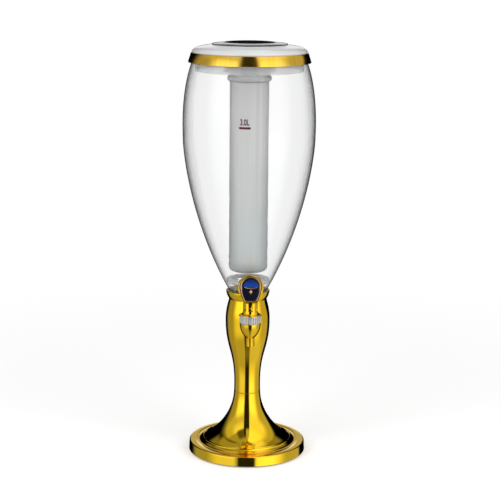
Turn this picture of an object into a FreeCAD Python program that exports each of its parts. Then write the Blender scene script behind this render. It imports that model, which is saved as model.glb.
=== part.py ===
import FreeCAD, Part
import math
import os

Vector = FreeCAD.Vector

# Beer tower dispenser. Millimetres, +Z up, the tap faces -Y.
# The origin is on the floor at the centre of the round base.

# Fits
running_fit = 0.05        # radial play of the lever on its pin
bore_fit = 0.02           # radial play of a pin in its seat
slip_fit = 0.3            # play between parts that slide over or into each other
seat_gap = 0.2            # rest gap between parts that lift apart
cut_margin = 1.0          # how far a cutting shape runs past what it cuts

# Base
pad_count = 6
pad_radius = 8.0
pad_height = 2.0
pad_circle_radius = 64.0
cover_thickness = 2.5
cover_recess = 0.5        # the shell's rim stands this much below the cover
weight_thickness = 6.9
weight_hub_radius = 16.0
weight_hub_height = 9.0   # above the weight's plate
weight_play = 1.0         # radial play of the weight in the plinth
plinth_radius = 82.3
plinth_taper = 0.6        # the side leans in this much towards the top
plinth_wall = 2.5
plinth_edge_radius = 1.9
plinth_top_fall = 1.0     # the top ring slopes down this much to the edge
plinth_recess_depth = 2.4
plinth_hole_radius = 58.0
cover_screw_count = 4
cover_screw_circle_radius = 45.0
cover_screw_radius = 2.0
cover_screw_head_radius = 4.0
cover_screw_head_height = 1.8
cover_screw_length = 7.0
cover_screw_slot_width = 1.0
cover_screw_slot_depth = 0.9
cover_screw_tip_room = 1.0

# Trumpet foot, from the plinth to the seam
foot_rim_radius = 70.4
foot_lip_radius = 61.6
foot_lip_rise = 3.9       # the lip's height above the plinth's top
foot_lip_round = 0.8
foot_height = 72.3        # from its seat to the seam
foot_wall = 2.5
foot_lip_slope = 17.2     # degrees from level
foot_lip_pull = 15.3
foot_seam_pull = 35.0
foot_cove_width_share = 0.62    # the cove's deepest point under the lip, across
foot_cove_height_share = 0.3    # and up

# Column, from the seam to the pinch under the collar
seam_radius = 18.54
seam_lean = 2.3           # degrees from upright
column_height = 135.4
column_wall = 2.5
column_seam_pull = 60.0
column_belly_radius = 31.0
column_belly_height = 105.3
column_belly_pull_below = 46.2
column_belly_pull_above = 15.0
column_pinch_radius = 26.2
column_pinch_lean = 10.0
column_pinch_pull = 5.0
column_floor_thickness = 4.0
spigot_length = 8.0
spigot_wall = 2.2

# Tie rod through foot and column
tie_rod_radius = 4.0
tie_nut_across_flats = 13.0
tie_nut_height = 6.5
tie_washer_radius = 8.0
tie_washer_thickness = 1.6
tie_rod_end = 3.0         # thread showing past the upper nut
tie_rod_lower_end = 1.0

# Collar
collar_rim_radius = 30.5
collar_height = 12.2
collar_bulge_radius = 29.1
collar_bulge_height = 5.4
collar_wall = 1.6
collar_floor_thickness = 1.5
collar_corner_inset = 0.4

# Outlet cup inside the column
cup_radius = 22.6
cup_wall = 2.2
cup_depth = 45.0
cup_floor_thickness = 2.4
cup_flange_radius = 25.2
cup_flange_thickness = 2.0
cup_boss_radius = 11.5
cup_boss_face = 16.5      # distance of the inner flat from the axis

# Vessel
gasket_thickness = 1.5
gasket_inset = 1.5        # inside the cup's flange
vessel_wall = 2.5
vessel_seat_radius = 22.5
vessel_height = 329.4     # from its shoulder to its mouth
vessel_seat_lean = 29.8   # degrees from upright
vessel_seat_pull = 119.0
vessel_belly_radius = 91.0
vessel_belly_height = 221.9
vessel_belly_pull_below = 18.5
vessel_belly_pull_above = 9.5
vessel_mouth_radius = 76.85
vessel_mouth_lean = 22.4
vessel_mouth_pull = 45.8
vessel_neck_length = 18.0
vessel_neck_wall = 2.5
vessel_throat_flare = 6.0    # the bore widens by this much into the cone

# Flow ring in the bottom of the vessel
flow_ring_foot_radius = 27.6
flow_ring_radius = 30.0
flow_ring_height = 12.0
flow_ring_top_round = 3.0
flow_ring_wall = 2.2
flow_ring_bore_radius = 15.5
flow_ring_port_radius = 2.6
flow_ring_port_circle_radius = 20.6
flow_ring_port_count = 8

# Lid
lid_seal_thickness = 1.3
lid_seal_overhang = 1.0   # past the vessel's mouth
lid_flange_thickness = 2.6
lid_rim_radius = 78.5
lid_side_height = 10.3    # from the mouth to the dome's edge
lid_dome_edge_radius = 74.5
lid_dome_edge_rise = 3.5
lid_dome_mid_radius = 66.5
lid_dome_mid_rise = 6.1
lid_dome_rise = 8.8
lid_wall = 2.2
lid_plug_wall = 2.0
lid_plug_depth = 21.0     # below the mouth
lid_plug_clearance = 0.6
lid_socket_radius = 35.4
lid_socket_wall = 3.2
lid_socket_depth = 22.6   # below the mouth
lid_recess_depth = 1.8
tube_recess_radius = 41.0
tube_recess_depth = 2.5
vent_hole_radius = 1.5
vent_hole_offset = 46.5

# Trim ring round the lid
ring_bottom_overhang = 7.05    # past the vessel's mouth, seen from above
ring_top_overhang = 2.95
ring_height = 13.2
ring_drop = 5.1           # below the mouth
ring_wall = 1.6
lid_skirt_wall = 1.6
ring_snap_gap = 0.1

# Ice tube
tube_radius = 26.8
tube_wall = 2.0
tube_end_gap = 8.6        # between its bottom and the flow ring
tube_corner_radius = 6.5
tube_bead_radius = 30.3
tube_bead_drop = 42.6     # from the flange's underside to the bead's middle
tube_bead_height = 9.0
tube_flange_radius = 40.5
tube_flange_thickness = 2.0
tube_seal_thickness = 0.9
tube_seal_width = 5.0
tube_seal_inset = 0.5

# Ice tube cap
cap_radius = 51.5
cap_edge_height = 1.7
cap_rise = 4.1            # bezel, from its outer edge to its inner edge
cap_disc_radius = 34.0
cap_disc_dome = 1.5
cap_disc_inset = 0.5      # the disc's edge lies this much below the bezel's
cap_well_depth = 2.7
cap_bezel_wall = 1.4
cap_bezel_lip_width = 1.0
cap_bezel_lip_drop = 0.4
cap_plug_depth = 12.0
cap_plug_wall = 2.0
cap_plug_clearance = 1.0
cap_seal_section = 0.9

# Tap
tap_reach = 58.0          # from the column's axis to the tap's axis
shank_height = 107.3      # above the seam
shank_radius = 6.5
shank_bore_radius = 4.0
shank_flange_radius = 9.5
shank_flange_thickness = 2.5
saddle_thickness = 2.5
shank_seal_radius = 10.0
shank_seal_thickness = 1.5
shank_nut_across_flats = 19.0
shank_nut_height = 4.5
shank_end = 1.5
bowl_radius = 14.5
bowl_height = 20.9
bowl_below_shank = 13.4   # from the shank's axis to the bowl's bottom
bowl_side_pull = 10.0
bowl_base_spread = 4.6
bowl_base_rise = 3.9
bowl_bore_radius = 10.6
seat_cone_rise = 9.4
seat_drop = 1.0           # the valve seat starts this much below the bowl's flare
spout_radius = 5.9
spout_bore_radius = 4.3
spout_length = 12.3
spout_lip_round = 0.6
neck_radius = 12.4
neck_height = 6.5

# Bonnet nut
nut_radius = 14.7
nut_web_thickness = 2.7
nut_flange_radius = 15.7
nut_flange_thickness = 1.7
knurl_count = 28
knurl_radius = 0.55

# Lever post on the bonnet
post_radius = 9.8
post_flange_thickness = 2.0
post_plug_radius = 10.2
post_plug_depth = 3.5
post_height = 20.6        # above its flange
post_slot_width = 6.4
post_slot_depth = 14.1
post_edge_chamfer = 0.6
post_ring_section = 0.85
post_ring_land = 0.7      # below the ring's groove
stem_ring_section = 0.6
stem_ring_land = 0.8
ring_side_play = 0.08     # of a ring seal in its groove

# Lever
pin_radius = 1.5
pin_length = 15.0
pin_offset = 6.0          # in front of the tap's axis
pin_drop = 9.6            # below the post's top
lever_width = 6.0
hub_radius = 3.2
neck_front = 1.6          # from the pin's axis to the lever neck's front
neck_rear = 2.6
neck_overlap = 2.0        # the neck runs this far into the paddle
stem_side_gap = 0.4       # between the fork and the valve stem
toe_radius = 1.5
paddle_lift = 0.7         # gap between the post's top and the paddle
paddle_height = 37.7
paddle_radius = 17.3
paddle_foot_half_width = 9.85
paddle_thickness = 8.0
paddle_front = 8.0        # in front of the tap's axis
paddle_edge_chamfer = 1.0
badge_radius = 12.1
badge_foot_half_width = 7.4
badge_foot_rise = 1.3
badge_top_margin = 3.7
badge_thickness = 1.2
badge_recess = 1.0

# Valve
stem_radius = 1.5
stem_head_radius = 3.0
stem_head_height = 2.0
stem_toe_gap = 0.3
plug_gap = 0.35
plug_rise = 4.0
plug_start = 0.9          # above the mouth of the seat
stem_foot_rise = 1.0      # the stem's end above the plug's bottom
stem_collar_radius = 3.4
stem_collar_height = 1.0
spring_radius = 5.0
spring_wire_radius = 0.8
spring_turns = 5

# Heights of the stack, worked out from the sizes above
cover_bottom = pad_height
cover_top = cover_bottom + cover_thickness
plinth_bottom = cover_bottom - cover_recess
weight_top = cover_top + weight_thickness
foot_seat = weight_top + plinth_wall
plinth_top = foot_seat + plinth_recess_depth
plinth_side_top = plinth_top - plinth_top_fall - plinth_edge_radius
foot_lip = plinth_top + foot_lip_rise
seam = foot_seat + foot_height
column_top = seam + column_height
collar_floor_top = column_top + collar_floor_thickness
cup_top = collar_floor_top + cup_flange_thickness
vessel_seat = cup_top + gasket_thickness
mouth = vessel_seat + vessel_height
lid_flange = mouth + seat_gap + lid_seal_thickness
ring_bottom = mouth - ring_drop
ring_top = ring_bottom + ring_height
lid_side_top = mouth + lid_side_height
lid_dome_top = lid_side_top + lid_dome_rise
cap_floor = lid_dome_top - lid_recess_depth
tube_ledge = cap_floor - tube_recess_depth
tube_flange_bottom = tube_ledge + seat_gap + tube_seal_thickness
cap_bottom = max(cap_floor, tube_flange_bottom + tube_flange_thickness) + seat_gap
shank_axis = seam + shank_height
bowl_bottom = shank_axis - bowl_below_shank
bowl_top = bowl_bottom + bowl_height
neck_top = bowl_top + neck_height
post_flange_top = neck_top + post_flange_thickness
nut_bottom = bowl_top + seat_gap
nut_top = post_flange_top + nut_web_thickness
post_top = post_flange_top + post_height
pin_height = post_top - pin_drop
paddle_bottom = post_top + paddle_lift
seat_height = bowl_bottom + bowl_base_rise - seat_drop
seat_cone_top = seat_height + seat_cone_rise
head_bottom = pin_height + toe_radius + stem_toe_gap
plug_bottom = seat_height + plug_start
plug_top = plug_bottom + plug_rise
column_belly = seam + column_belly_height
tie_floor_top = seam + column_floor_thickness
ring_bottom_radius = vessel_mouth_radius + ring_bottom_overhang
ring_top_radius = vessel_mouth_radius + ring_top_overhang

full_turn = 360.0
up = Vector(0, 0, 1)


def at(radius, height):
    """A point in the half plane to the right of the axis."""
    return Vector(radius, 0, height)


def leaning(start, degrees_from_level, distance):
    """The point at a distance from start, in a direction measured from level."""
    angle = math.radians(degrees_from_level)
    return start + Vector(math.cos(angle) * distance, 0, math.sin(angle) * distance)


def bezier(*poles):
    curve = Part.BezierCurve()
    curve.setPoles(list(poles))
    return curve


def curve_points(curve, distance=0.0, samples=14):
    """Points along a rising curve, moved towards the axis by distance."""
    first, last = curve.FirstParameter, curve.LastParameter
    points = []
    for index in range(samples + 1):
        place = first + (last - first) * index / samples
        along = curve.tangent(place)[0]
        points.append(curve.value(place) + Vector(-along.z, 0, along.x) * distance)
    return points


def smooth(points):
    curve = Part.BSplineCurve()
    curve.interpolate(points)
    return curve


def inner(curve, distance):
    """The same curve at a constant distance on the axis side."""
    return smooth(curve_points(curve, distance))


def between(curve, low, high, samples=10):
    """The stretch of a rising curve from one height to another."""
    step = (high - low) / samples
    heights = [low + step * index for index in range(samples + 1)]
    return smooth([at(radius_at(curve, height), height) for height in heights])


def place_at(curve, wanted, measure):
    """The parameter where a growing measure of the curve's point has the wanted value."""
    low, high = curve.FirstParameter, curve.LastParameter
    for _ in range(60):
        middle = (low + high) / 2
        if measure(curve.value(middle)) < wanted:
            low = middle
        else:
            high = middle
    return (low + high) / 2


def radius_at(curve, height):
    return curve.value(place_at(curve, height, lambda spot: spot.z)).x


def height_at(curve, radius):
    return curve.value(place_at(curve, radius, lambda spot: spot.x)).z


class Outline:
    """A closed outline beside the axis, turned into a solid of revolution."""

    def __init__(self, radius, height):
        self.first = at(radius, height)
        self.here = self.first
        self.edges = []

    def line(self, radius, height):
        target = at(radius, height)
        if target.distanceToPoint(self.here) > 1e-6:
            self.edges.append(Part.LineSegment(self.here, target).toShape())
            self.here = target
        return self

    def arc(self, through, target):
        self.edges.append(Part.Arc(self.here, at(*through), at(*target)).toShape())
        self.here = at(*target)
        return self

    def quarter(self, radius, height, level_first):
        """A quarter round to a corner, leaving level or upright."""
        half = math.sqrt(0.5)
        middle_x = half if level_first else 1 - half
        middle_z = 1 - half if level_first else half
        through = (self.here.x + (radius - self.here.x) * middle_x,
                   self.here.z + (height - self.here.z) * middle_z)
        return self.arc(through, (radius, height))

    def rise(self, curve):
        start = curve.value(curve.FirstParameter)
        self.line(start.x, start.z)
        self.edges.append(curve.toShape())
        self.here = curve.value(curve.LastParameter)
        return self

    def fall(self, curve):
        """Follow a rising curve from its top to its bottom."""
        start = curve.value(curve.LastParameter)
        self.line(start.x, start.z)
        self.edges.append(curve.toShape())
        self.here = curve.value(curve.FirstParameter)
        return self

    def turn(self, axis_y=0.0):
        self.line(self.first.x, self.first.z)
        face = Part.Face(Part.Wire(Part.__sortEdges__(self.edges)))
        solid = face.revolve(Vector(0, 0, 0), up, full_turn)
        solid.translate(Vector(0, axis_y, 0))
        return clean(solid)


def clean(shape):
    """One solid with outward faces."""
    solid = shape.Solids[0] if len(shape.Solids) == 1 else shape
    if solid.Volume < 0:
        solid.reverse()
    return solid


def ring(inner_radius, outer_radius, bottom, top, axis_y=0.0):
    outline = Outline(inner_radius, bottom).line(outer_radius, bottom)
    return outline.line(outer_radius, top).line(inner_radius, top).turn(axis_y)


def post(radius, bottom, top, x=0.0, y=0.0):
    return Part.makeCylinder(radius, top - bottom, Vector(x, y, bottom), up)


def rod_along_y(radius, near, far, height):
    """A round bar along the tap's shank, from one y to a larger one."""
    return Part.makeCylinder(radius, far - near, Vector(0, near, height), Vector(0, 1, 0))


def block(half_width, front, back, bottom, top):
    return Part.makeBox(half_width * 2, back - front, top - bottom, Vector(-half_width, front, bottom))


def hexagon(across_flats, start, direction, height):
    """A hexagonal bar with its corners on a circle round the given axis."""
    corner = across_flats / math.sqrt(3)
    points = []
    for index in range(7):
        angle = math.radians(60 * index)
        points.append(Vector(corner * math.cos(angle), corner * math.sin(angle), 0))
    bar = Part.Face(Part.makePolygon(points)).extrude(Vector(0, 0, height))
    bar.Placement = FreeCAD.Placement(start, FreeCAD.Rotation(up, direction))
    return bar


def polar(count, circle_radius, first_degrees=0.0):
    """Points evenly spaced on a circle round the axis."""
    places = []
    for index in range(count):
        angle = math.radians(first_degrees + full_turn * index / count)
        places.append(Vector(circle_radius * math.cos(angle), circle_radius * math.sin(angle), 0))
    return places


# Profiles shared by neighbouring pieces
foot_curve = bezier(
    at(foot_lip_radius, foot_lip),
    leaning(at(foot_lip_radius, foot_lip), 180 - foot_lip_slope, foot_lip_pull),
    leaning(at(seam_radius, seam), seam_lean - 90, foot_seam_pull),
    at(seam_radius, seam))
column_curve_low = bezier(
    at(seam_radius, seam),
    leaning(at(seam_radius, seam), seam_lean + 90, column_seam_pull),
    at(column_belly_radius, column_belly - column_belly_pull_below),
    at(column_belly_radius, column_belly))
column_curve_high = bezier(
    at(column_belly_radius, column_belly),
    at(column_belly_radius, column_belly + column_belly_pull_above),
    leaning(at(column_pinch_radius, column_top), column_pinch_lean - 90, column_pinch_pull),
    at(column_pinch_radius, column_top))
vessel_belly = vessel_seat + vessel_belly_height
vessel_curve_low = bezier(
    at(vessel_seat_radius, vessel_seat),
    leaning(at(vessel_seat_radius, vessel_seat), 90 - vessel_seat_lean, vessel_seat_pull),
    at(vessel_belly_radius, vessel_belly - vessel_belly_pull_below),
    at(vessel_belly_radius, vessel_belly))
vessel_curve_high = bezier(
    at(vessel_belly_radius, vessel_belly),
    at(vessel_belly_radius, vessel_belly + vessel_belly_pull_above),
    leaning(at(vessel_mouth_radius, mouth), vessel_mouth_lean - 90, vessel_mouth_pull),
    at(vessel_mouth_radius, mouth))
vessel_inner_low = inner(vessel_curve_low, vessel_wall)
vessel_inner_high = inner(vessel_curve_high, vessel_wall)
mouth_inner_radius = vessel_inner_high.value(vessel_inner_high.LastParameter).x
lid_plug_radius = mouth_inner_radius - lid_plug_clearance
neck_outer_radius = cup_radius - cup_wall - slip_fit
flow_ring_seat = inner(vessel_curve_low, vessel_wall + slip_fit)
flow_ring_bottom = height_at(flow_ring_seat, flow_ring_foot_radius)
flow_ring_top = flow_ring_bottom + flow_ring_height
tube_bottom = flow_ring_top + tube_end_gap


def ring_face(height, inset):
    """The trim ring's cone at a height, moved in by inset."""
    share = (height - ring_bottom) / ring_height
    return ring_bottom_radius + (ring_top_radius - ring_bottom_radius) * share - inset


# Base

def rubber_pads():
    return Part.makeCompound([post(pad_radius, 0, pad_height, spot.x, spot.y)
                              for spot in polar(pad_count, pad_circle_radius)])


screw_spots = polar(cover_screw_count, cover_screw_circle_radius, 45)


def base_cover():
    radius = plinth_radius - plinth_wall - slip_fit
    cover = post(radius, cover_bottom, cover_top)
    for spot in screw_spots:
        hole = post(cover_screw_radius + slip_fit, cover_bottom, cover_top, spot.x, spot.y)
        head_bottom_z = cover_bottom + cover_screw_head_height
        head = post(cover_screw_head_radius + slip_fit, cover_bottom, head_bottom_z, spot.x, spot.y)
        cover = cover.cut(hole).cut(head)
    return clean(cover)


def cover_screws():
    screws = []
    for spot in screw_spots:
        head_top = cover_bottom + cover_screw_head_height
        head = post(cover_screw_head_radius, cover_bottom, head_top, spot.x, spot.y)
        slot = Part.makeBox(cover_screw_head_radius * 2, cover_screw_slot_width, cover_screw_slot_depth,
                            Vector(spot.x - cover_screw_head_radius, spot.y - cover_screw_slot_width / 2,
                                   cover_bottom))
        shaft = post(cover_screw_radius, head_top, head_top + cover_screw_length, spot.x, spot.y)
        screws.append(clean(head.fuse(shaft).cut(slot)))
    return Part.makeCompound(screws)


def base_weight():
    radius = plinth_radius - plinth_wall - plinth_taper - weight_play
    weight = post(radius, cover_top, weight_top)
    weight = weight.fuse(post(weight_hub_radius, cover_top, weight_top + weight_hub_height))
    pocket_top = cover_top + tie_nut_height + tie_washer_thickness + tie_rod_end
    weight = weight.cut(post(tie_washer_radius + slip_fit, cover_top, pocket_top))
    weight = weight.cut(post(tie_rod_radius + slip_fit, cover_top, weight_top + weight_hub_height))
    for spot in screw_spots:
        depth = cover_screw_head_height + cover_screw_length + cover_screw_tip_room
        weight = weight.cut(post(cover_screw_radius + bore_fit, cover_top, cover_bottom + depth,
                                 spot.x, spot.y))
    return clean(weight)


def base_plinth():
    bottom_inner = plinth_radius - plinth_wall
    side_top_radius = plinth_radius - plinth_taper
    outline = Outline(bottom_inner, plinth_bottom).line(plinth_radius, plinth_bottom)
    outline.line(side_top_radius, plinth_side_top)
    outline.quarter(side_top_radius - plinth_edge_radius, plinth_side_top + plinth_edge_radius, False)
    outline.line(foot_rim_radius + slip_fit / 2, plinth_top)
    outline.line(foot_rim_radius + slip_fit / 2, foot_seat)
    outline.line(plinth_hole_radius, foot_seat)
    outline.line(plinth_hole_radius, weight_top)
    outline.line(side_top_radius - plinth_wall, weight_top)
    return outline.turn()


def foot_trumpet():
    lip_edge = foot_lip_radius + foot_lip_round
    cove_height = foot_lip - foot_lip_round
    outline = Outline(plinth_hole_radius + slip_fit, foot_seat)
    outline.line(foot_rim_radius, foot_seat).line(foot_rim_radius, plinth_top)
    cove_width = foot_rim_radius - lip_edge
    cove_rise = cove_height - plinth_top
    cove = (foot_rim_radius - cove_width * foot_cove_width_share, plinth_top + cove_rise * foot_cove_height_share)
    outline.arc(cove, (lip_edge, cove_height))
    outline.quarter(foot_lip_radius, foot_lip, False)
    outline.rise(foot_curve)
    inside = inner(foot_curve, foot_wall)
    outline.fall(inside)
    return outline.turn()


def tie_rod():
    bottom = tie_lower_nut_bottom() - tie_rod_lower_end
    top = tie_floor_top + tie_washer_thickness + tie_nut_height + tie_rod_end
    return post(tie_rod_radius, bottom, top)


def tie_lower_nut_bottom():
    return cover_top + tie_rod_end


def tie_nuts():
    nuts = []
    lower = tie_lower_nut_bottom()
    upper = tie_floor_top + tie_washer_thickness
    for bottom in (lower, upper):
        nut = hexagon(tie_nut_across_flats, Vector(0, 0, bottom), up, tie_nut_height)
        nuts.append(clean(nut.cut(post(tie_rod_radius + bore_fit, bottom, bottom + tie_nut_height))))
    return Part.makeCompound(nuts)


def tie_washers():
    washers = []
    for bottom in (tie_lower_nut_bottom() + tie_nut_height, tie_floor_top):
        washers.append(ring(tie_rod_radius + slip_fit, tie_washer_radius, bottom,
                            bottom + tie_washer_thickness))
    return Part.makeCompound(washers)


# Column and collar

def shank_hole(near, far):
    return rod_along_y(shank_radius + slip_fit, near, far, shank_axis)


def column_shell():
    inside_low = inner(column_curve_low, column_wall)
    inside_high = inner(column_curve_high, column_wall)
    spigot_radius = radius_at(inner(foot_curve, foot_wall), seam - spigot_length) - slip_fit
    spigot_radius = min(spigot_radius, seam_radius - foot_wall - slip_fit)
    outline = Outline(tie_rod_radius + slip_fit, seam)
    outline.line(spigot_radius - spigot_wall, seam).line(spigot_radius - spigot_wall, seam - spigot_length)
    outline.line(spigot_radius, seam - spigot_length).line(spigot_radius, seam)
    outline.rise(column_curve_low).rise(column_curve_high)
    outline.fall(inside_high)
    outline.fall(between(inside_low, tie_floor_top, column_belly))
    outline.line(tie_rod_radius + slip_fit, tie_floor_top)
    shell = outline.turn()
    return clean(shell.cut(shank_hole(-column_belly_radius - cut_margin, -column_belly_radius / 2)))


def collar():
    rim = column_top + collar_height
    edge = collar_rim_radius - collar_wall
    floor_hole = cup_radius + slip_fit
    outline = Outline(floor_hole, column_top).line(column_pinch_radius, column_top)
    bulge = (collar_bulge_radius, column_top + collar_bulge_height)
    outline.arc(bulge, (collar_rim_radius, rim - collar_wall / 2))
    middle = collar_rim_radius - collar_wall / 2
    outline.arc((middle, rim), (edge, rim - collar_wall / 2))
    inside_bulge = (collar_bulge_radius - collar_wall, column_top + collar_bulge_height)
    outline.arc(inside_bulge, (column_pinch_radius - collar_corner_inset, collar_floor_top))
    outline.line(floor_hole, collar_floor_top)
    return outline.turn()


def outlet_cup():
    cup_bottom = cup_top - cup_depth
    bore = cup_radius - cup_wall
    outline = Outline(0, cup_bottom).line(cup_radius, cup_bottom)
    outline.line(cup_radius, collar_floor_top).line(cup_flange_radius, collar_floor_top)
    outline.line(cup_flange_radius, cup_top).line(bore, cup_top)
    outline.line(bore, cup_bottom + cup_floor_thickness).line(0, cup_bottom + cup_floor_thickness)
    cup = outline.turn()
    outer_boss = rod_along_y(cup_boss_radius, -column_belly_radius, -bore, shank_axis)
    inside_low = inner(column_curve_low, column_wall + slip_fit)
    inside_high = inner(column_curve_high, column_wall + slip_fit)
    room_bottom = shank_axis - cup_boss_radius - cut_margin
    room_top = shank_axis + cup_boss_radius + cut_margin
    room = Outline(0, room_bottom)
    room.rise(between(inside_low, room_bottom, column_belly))
    room.rise(between(inside_high, column_belly, room_top))
    room.line(0, room_top)
    outer_boss = outer_boss.common(room.turn())
    inner_boss = rod_along_y(cup_boss_radius, -bore - cup_wall / 2, -cup_boss_face, shank_axis)
    inner_boss = inner_boss.common(post(bore + cup_wall / 2, cup_bottom, cup_top))
    cup = cup.fuse(outer_boss).fuse(inner_boss)
    return clean(cup.cut(shank_hole(-column_belly_radius, -cup_boss_face + cut_margin)))


def vessel_gasket():
    return ring(neck_outer_radius + slip_fit, cup_flange_radius - gasket_inset, cup_top, vessel_seat)


# Vessel and flow ring

def vessel():
    neck_inner = neck_outer_radius - vessel_neck_wall
    throat_top = height_at(vessel_inner_low, neck_inner + vessel_throat_flare)
    outline = Outline(neck_inner, vessel_seat - vessel_neck_length)
    outline.line(neck_outer_radius, vessel_seat - vessel_neck_length)
    outline.line(neck_outer_radius, vessel_seat)
    outline.rise(vessel_curve_low).rise(vessel_curve_high)
    outline.fall(vessel_inner_high)
    outline.fall(between(vessel_inner_low, throat_top, vessel_belly, samples=16))
    outline.line(neck_inner, vessel_seat)
    return outline.turn()


def flow_ring():
    inside = flow_ring_foot_radius - flow_ring_wall
    outline = Outline(inside, flow_ring_bottom)
    outline.rise(between(flow_ring_seat, flow_ring_bottom, height_at(flow_ring_seat, flow_ring_radius)))
    outline.line(flow_ring_radius, flow_ring_top - flow_ring_top_round)
    outline.quarter(flow_ring_radius - flow_ring_top_round, flow_ring_top, False)
    outline.line(flow_ring_bore_radius, flow_ring_top)
    outline.line(flow_ring_bore_radius, flow_ring_top - flow_ring_wall)
    outline.line(inside, flow_ring_top - flow_ring_wall)
    solid = outline.turn()
    for spot in polar(flow_ring_port_count, flow_ring_port_circle_radius):
        solid = solid.cut(post(flow_ring_port_radius, flow_ring_bottom, flow_ring_top, spot.x, spot.y))
    return clean(solid)


# Lid, trim ring and ice tube

socket_bore = lid_socket_radius - lid_socket_wall


def lid():
    dome = [at(lid_rim_radius, lid_side_top),
            at(lid_dome_edge_radius, lid_side_top + lid_dome_edge_rise),
            at(lid_dome_mid_radius, lid_side_top + lid_dome_mid_rise),
            at(cap_radius + slip_fit, lid_dome_top)]
    top = smooth(dome)
    under = smooth([spot - Vector(0, 0, lid_wall) for spot in dome[1:]])
    brim = ring_top + seat_gap
    flange_top = lid_flange + lid_flange_thickness
    skirt_bottom = ring_bottom + lid_skirt_wall / 2
    outline = Outline(lid_plug_radius, lid_flange)
    skirt_inset = ring_wall + ring_snap_gap + lid_skirt_wall
    outline.line(ring_face(lid_flange, skirt_inset), lid_flange)
    outline.line(ring_face(skirt_bottom, skirt_inset), skirt_bottom)
    outline.line(ring_face(skirt_bottom, ring_wall + ring_snap_gap), skirt_bottom)
    outline.line(ring_face(brim, ring_wall + ring_snap_gap), brim)
    outline.line(lid_rim_radius, brim).line(lid_rim_radius, lid_side_top)
    outline.rise(top)
    outline.line(cap_radius + slip_fit, cap_floor).line(tube_recess_radius, cap_floor)
    outline.line(tube_recess_radius, tube_ledge).line(socket_bore, tube_ledge)
    socket_bottom = mouth - lid_socket_depth
    outline.line(socket_bore, socket_bottom).line(lid_socket_radius, socket_bottom)
    outline.line(lid_socket_radius, tube_ledge - lid_wall)
    outline.line(tube_recess_radius + lid_wall, tube_ledge - lid_wall)
    outline.line(tube_recess_radius + lid_wall, cap_floor - lid_wall)
    outline.line(cap_radius, cap_floor - lid_wall)
    outline.fall(under)
    plug_inner = lid_plug_radius - lid_plug_wall
    outline.line(plug_inner, flange_top).line(plug_inner, mouth - lid_plug_depth)
    outline.line(lid_plug_radius, mouth - lid_plug_depth)
    shell = outline.turn()
    vent_low = cap_floor - lid_wall - cut_margin
    return clean(shell.cut(post(vent_hole_radius, vent_low, cap_floor + cut_margin, 0, vent_hole_offset)))


def lid_seal():
    outer = vessel_mouth_radius + lid_seal_overhang
    return ring(lid_plug_radius + seat_gap, outer, mouth + seat_gap, lid_flange)


def trim_ring():
    outline = Outline(ring_bottom_radius - ring_wall, ring_bottom).line(ring_bottom_radius, ring_bottom)
    outline.line(ring_top_radius, ring_top).line(ring_top_radius - ring_wall, ring_top)
    return outline.turn()


def ice_tube():
    bore = tube_radius - tube_wall
    inner_corner = tube_corner_radius - tube_wall
    bead = tube_flange_bottom - tube_bead_drop
    half_bead = tube_bead_height / 2
    outline = Outline(0, tube_bottom).line(tube_radius - tube_corner_radius, tube_bottom)
    outline.quarter(tube_radius, tube_bottom + tube_corner_radius, True)
    outline.line(tube_radius, bead - half_bead)
    outline.arc((tube_bead_radius, bead), (tube_radius, bead + half_bead))
    outline.line(tube_radius, tube_flange_bottom).line(tube_flange_radius, tube_flange_bottom)
    flange_top = tube_flange_bottom + tube_flange_thickness
    outline.line(tube_flange_radius, flange_top).line(bore, flange_top)
    outline.line(bore, tube_bottom + tube_corner_radius)
    outline.quarter(bore - inner_corner, tube_bottom + tube_wall, False)
    outline.line(0, tube_bottom + tube_wall)
    return outline.turn()


def ice_tube_seal():
    outer = tube_flange_radius - tube_seal_inset
    return ring(outer - tube_seal_width, outer, tube_ledge + seat_gap, tube_flange_bottom)


# Cap of the ice tube

cap_edge_top = cap_bottom + cap_edge_height
bezel_under = cap_edge_top - slip_fit
cap_well = cap_edge_top + cap_rise - cap_well_depth
cap_seal_centre = tube_radius - tube_wall - slip_fit - cap_seal_section
cap_seal_height = cap_bottom - cap_plug_depth / 2


def cap_body():
    plug = tube_radius - tube_wall - cap_plug_clearance
    groove = cap_seal_centre - cap_seal_section
    groove_bottom = cap_seal_height - cap_seal_section
    groove_top = cap_seal_height + cap_seal_section
    outline = Outline(plug, cap_bottom).line(cap_radius - cap_bezel_wall - bore_fit, cap_bottom)
    outline.line(cap_radius - cap_bezel_wall - bore_fit, bezel_under)
    outline.line(cap_disc_radius + slip_fit, bezel_under).line(cap_disc_radius + slip_fit, cap_well)
    outline.line(0, cap_well).line(0, cap_well - lid_wall)
    outline.line(plug - cap_plug_wall, cap_well - lid_wall)
    outline.line(plug - cap_plug_wall, cap_bottom - cap_plug_depth)
    outline.line(plug, cap_bottom - cap_plug_depth).line(plug, groove_bottom)
    outline.line(groove, groove_bottom).line(groove, groove_top)
    outline.line(plug, groove_top)
    return outline.turn()


def cap_seal():
    middle = Vector(0, 0, cap_seal_height)
    return clean(Part.makeTorus(cap_seal_centre, cap_seal_section - bore_fit, middle, up))


def cap_bezel():
    inner_radius = cap_disc_radius + slip_fit + bore_fit
    top = cap_edge_top + cap_rise
    wall = cap_radius - cap_bezel_wall
    outline = Outline(wall, cap_bottom).line(cap_radius, cap_bottom).line(cap_radius, cap_edge_top)
    outline.line(inner_radius + cap_bezel_lip_width, top).line(inner_radius, top - cap_bezel_lip_drop)
    outline.line(inner_radius, bezel_under + bore_fit).line(wall, bezel_under + bore_fit)
    return outline.turn()


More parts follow.
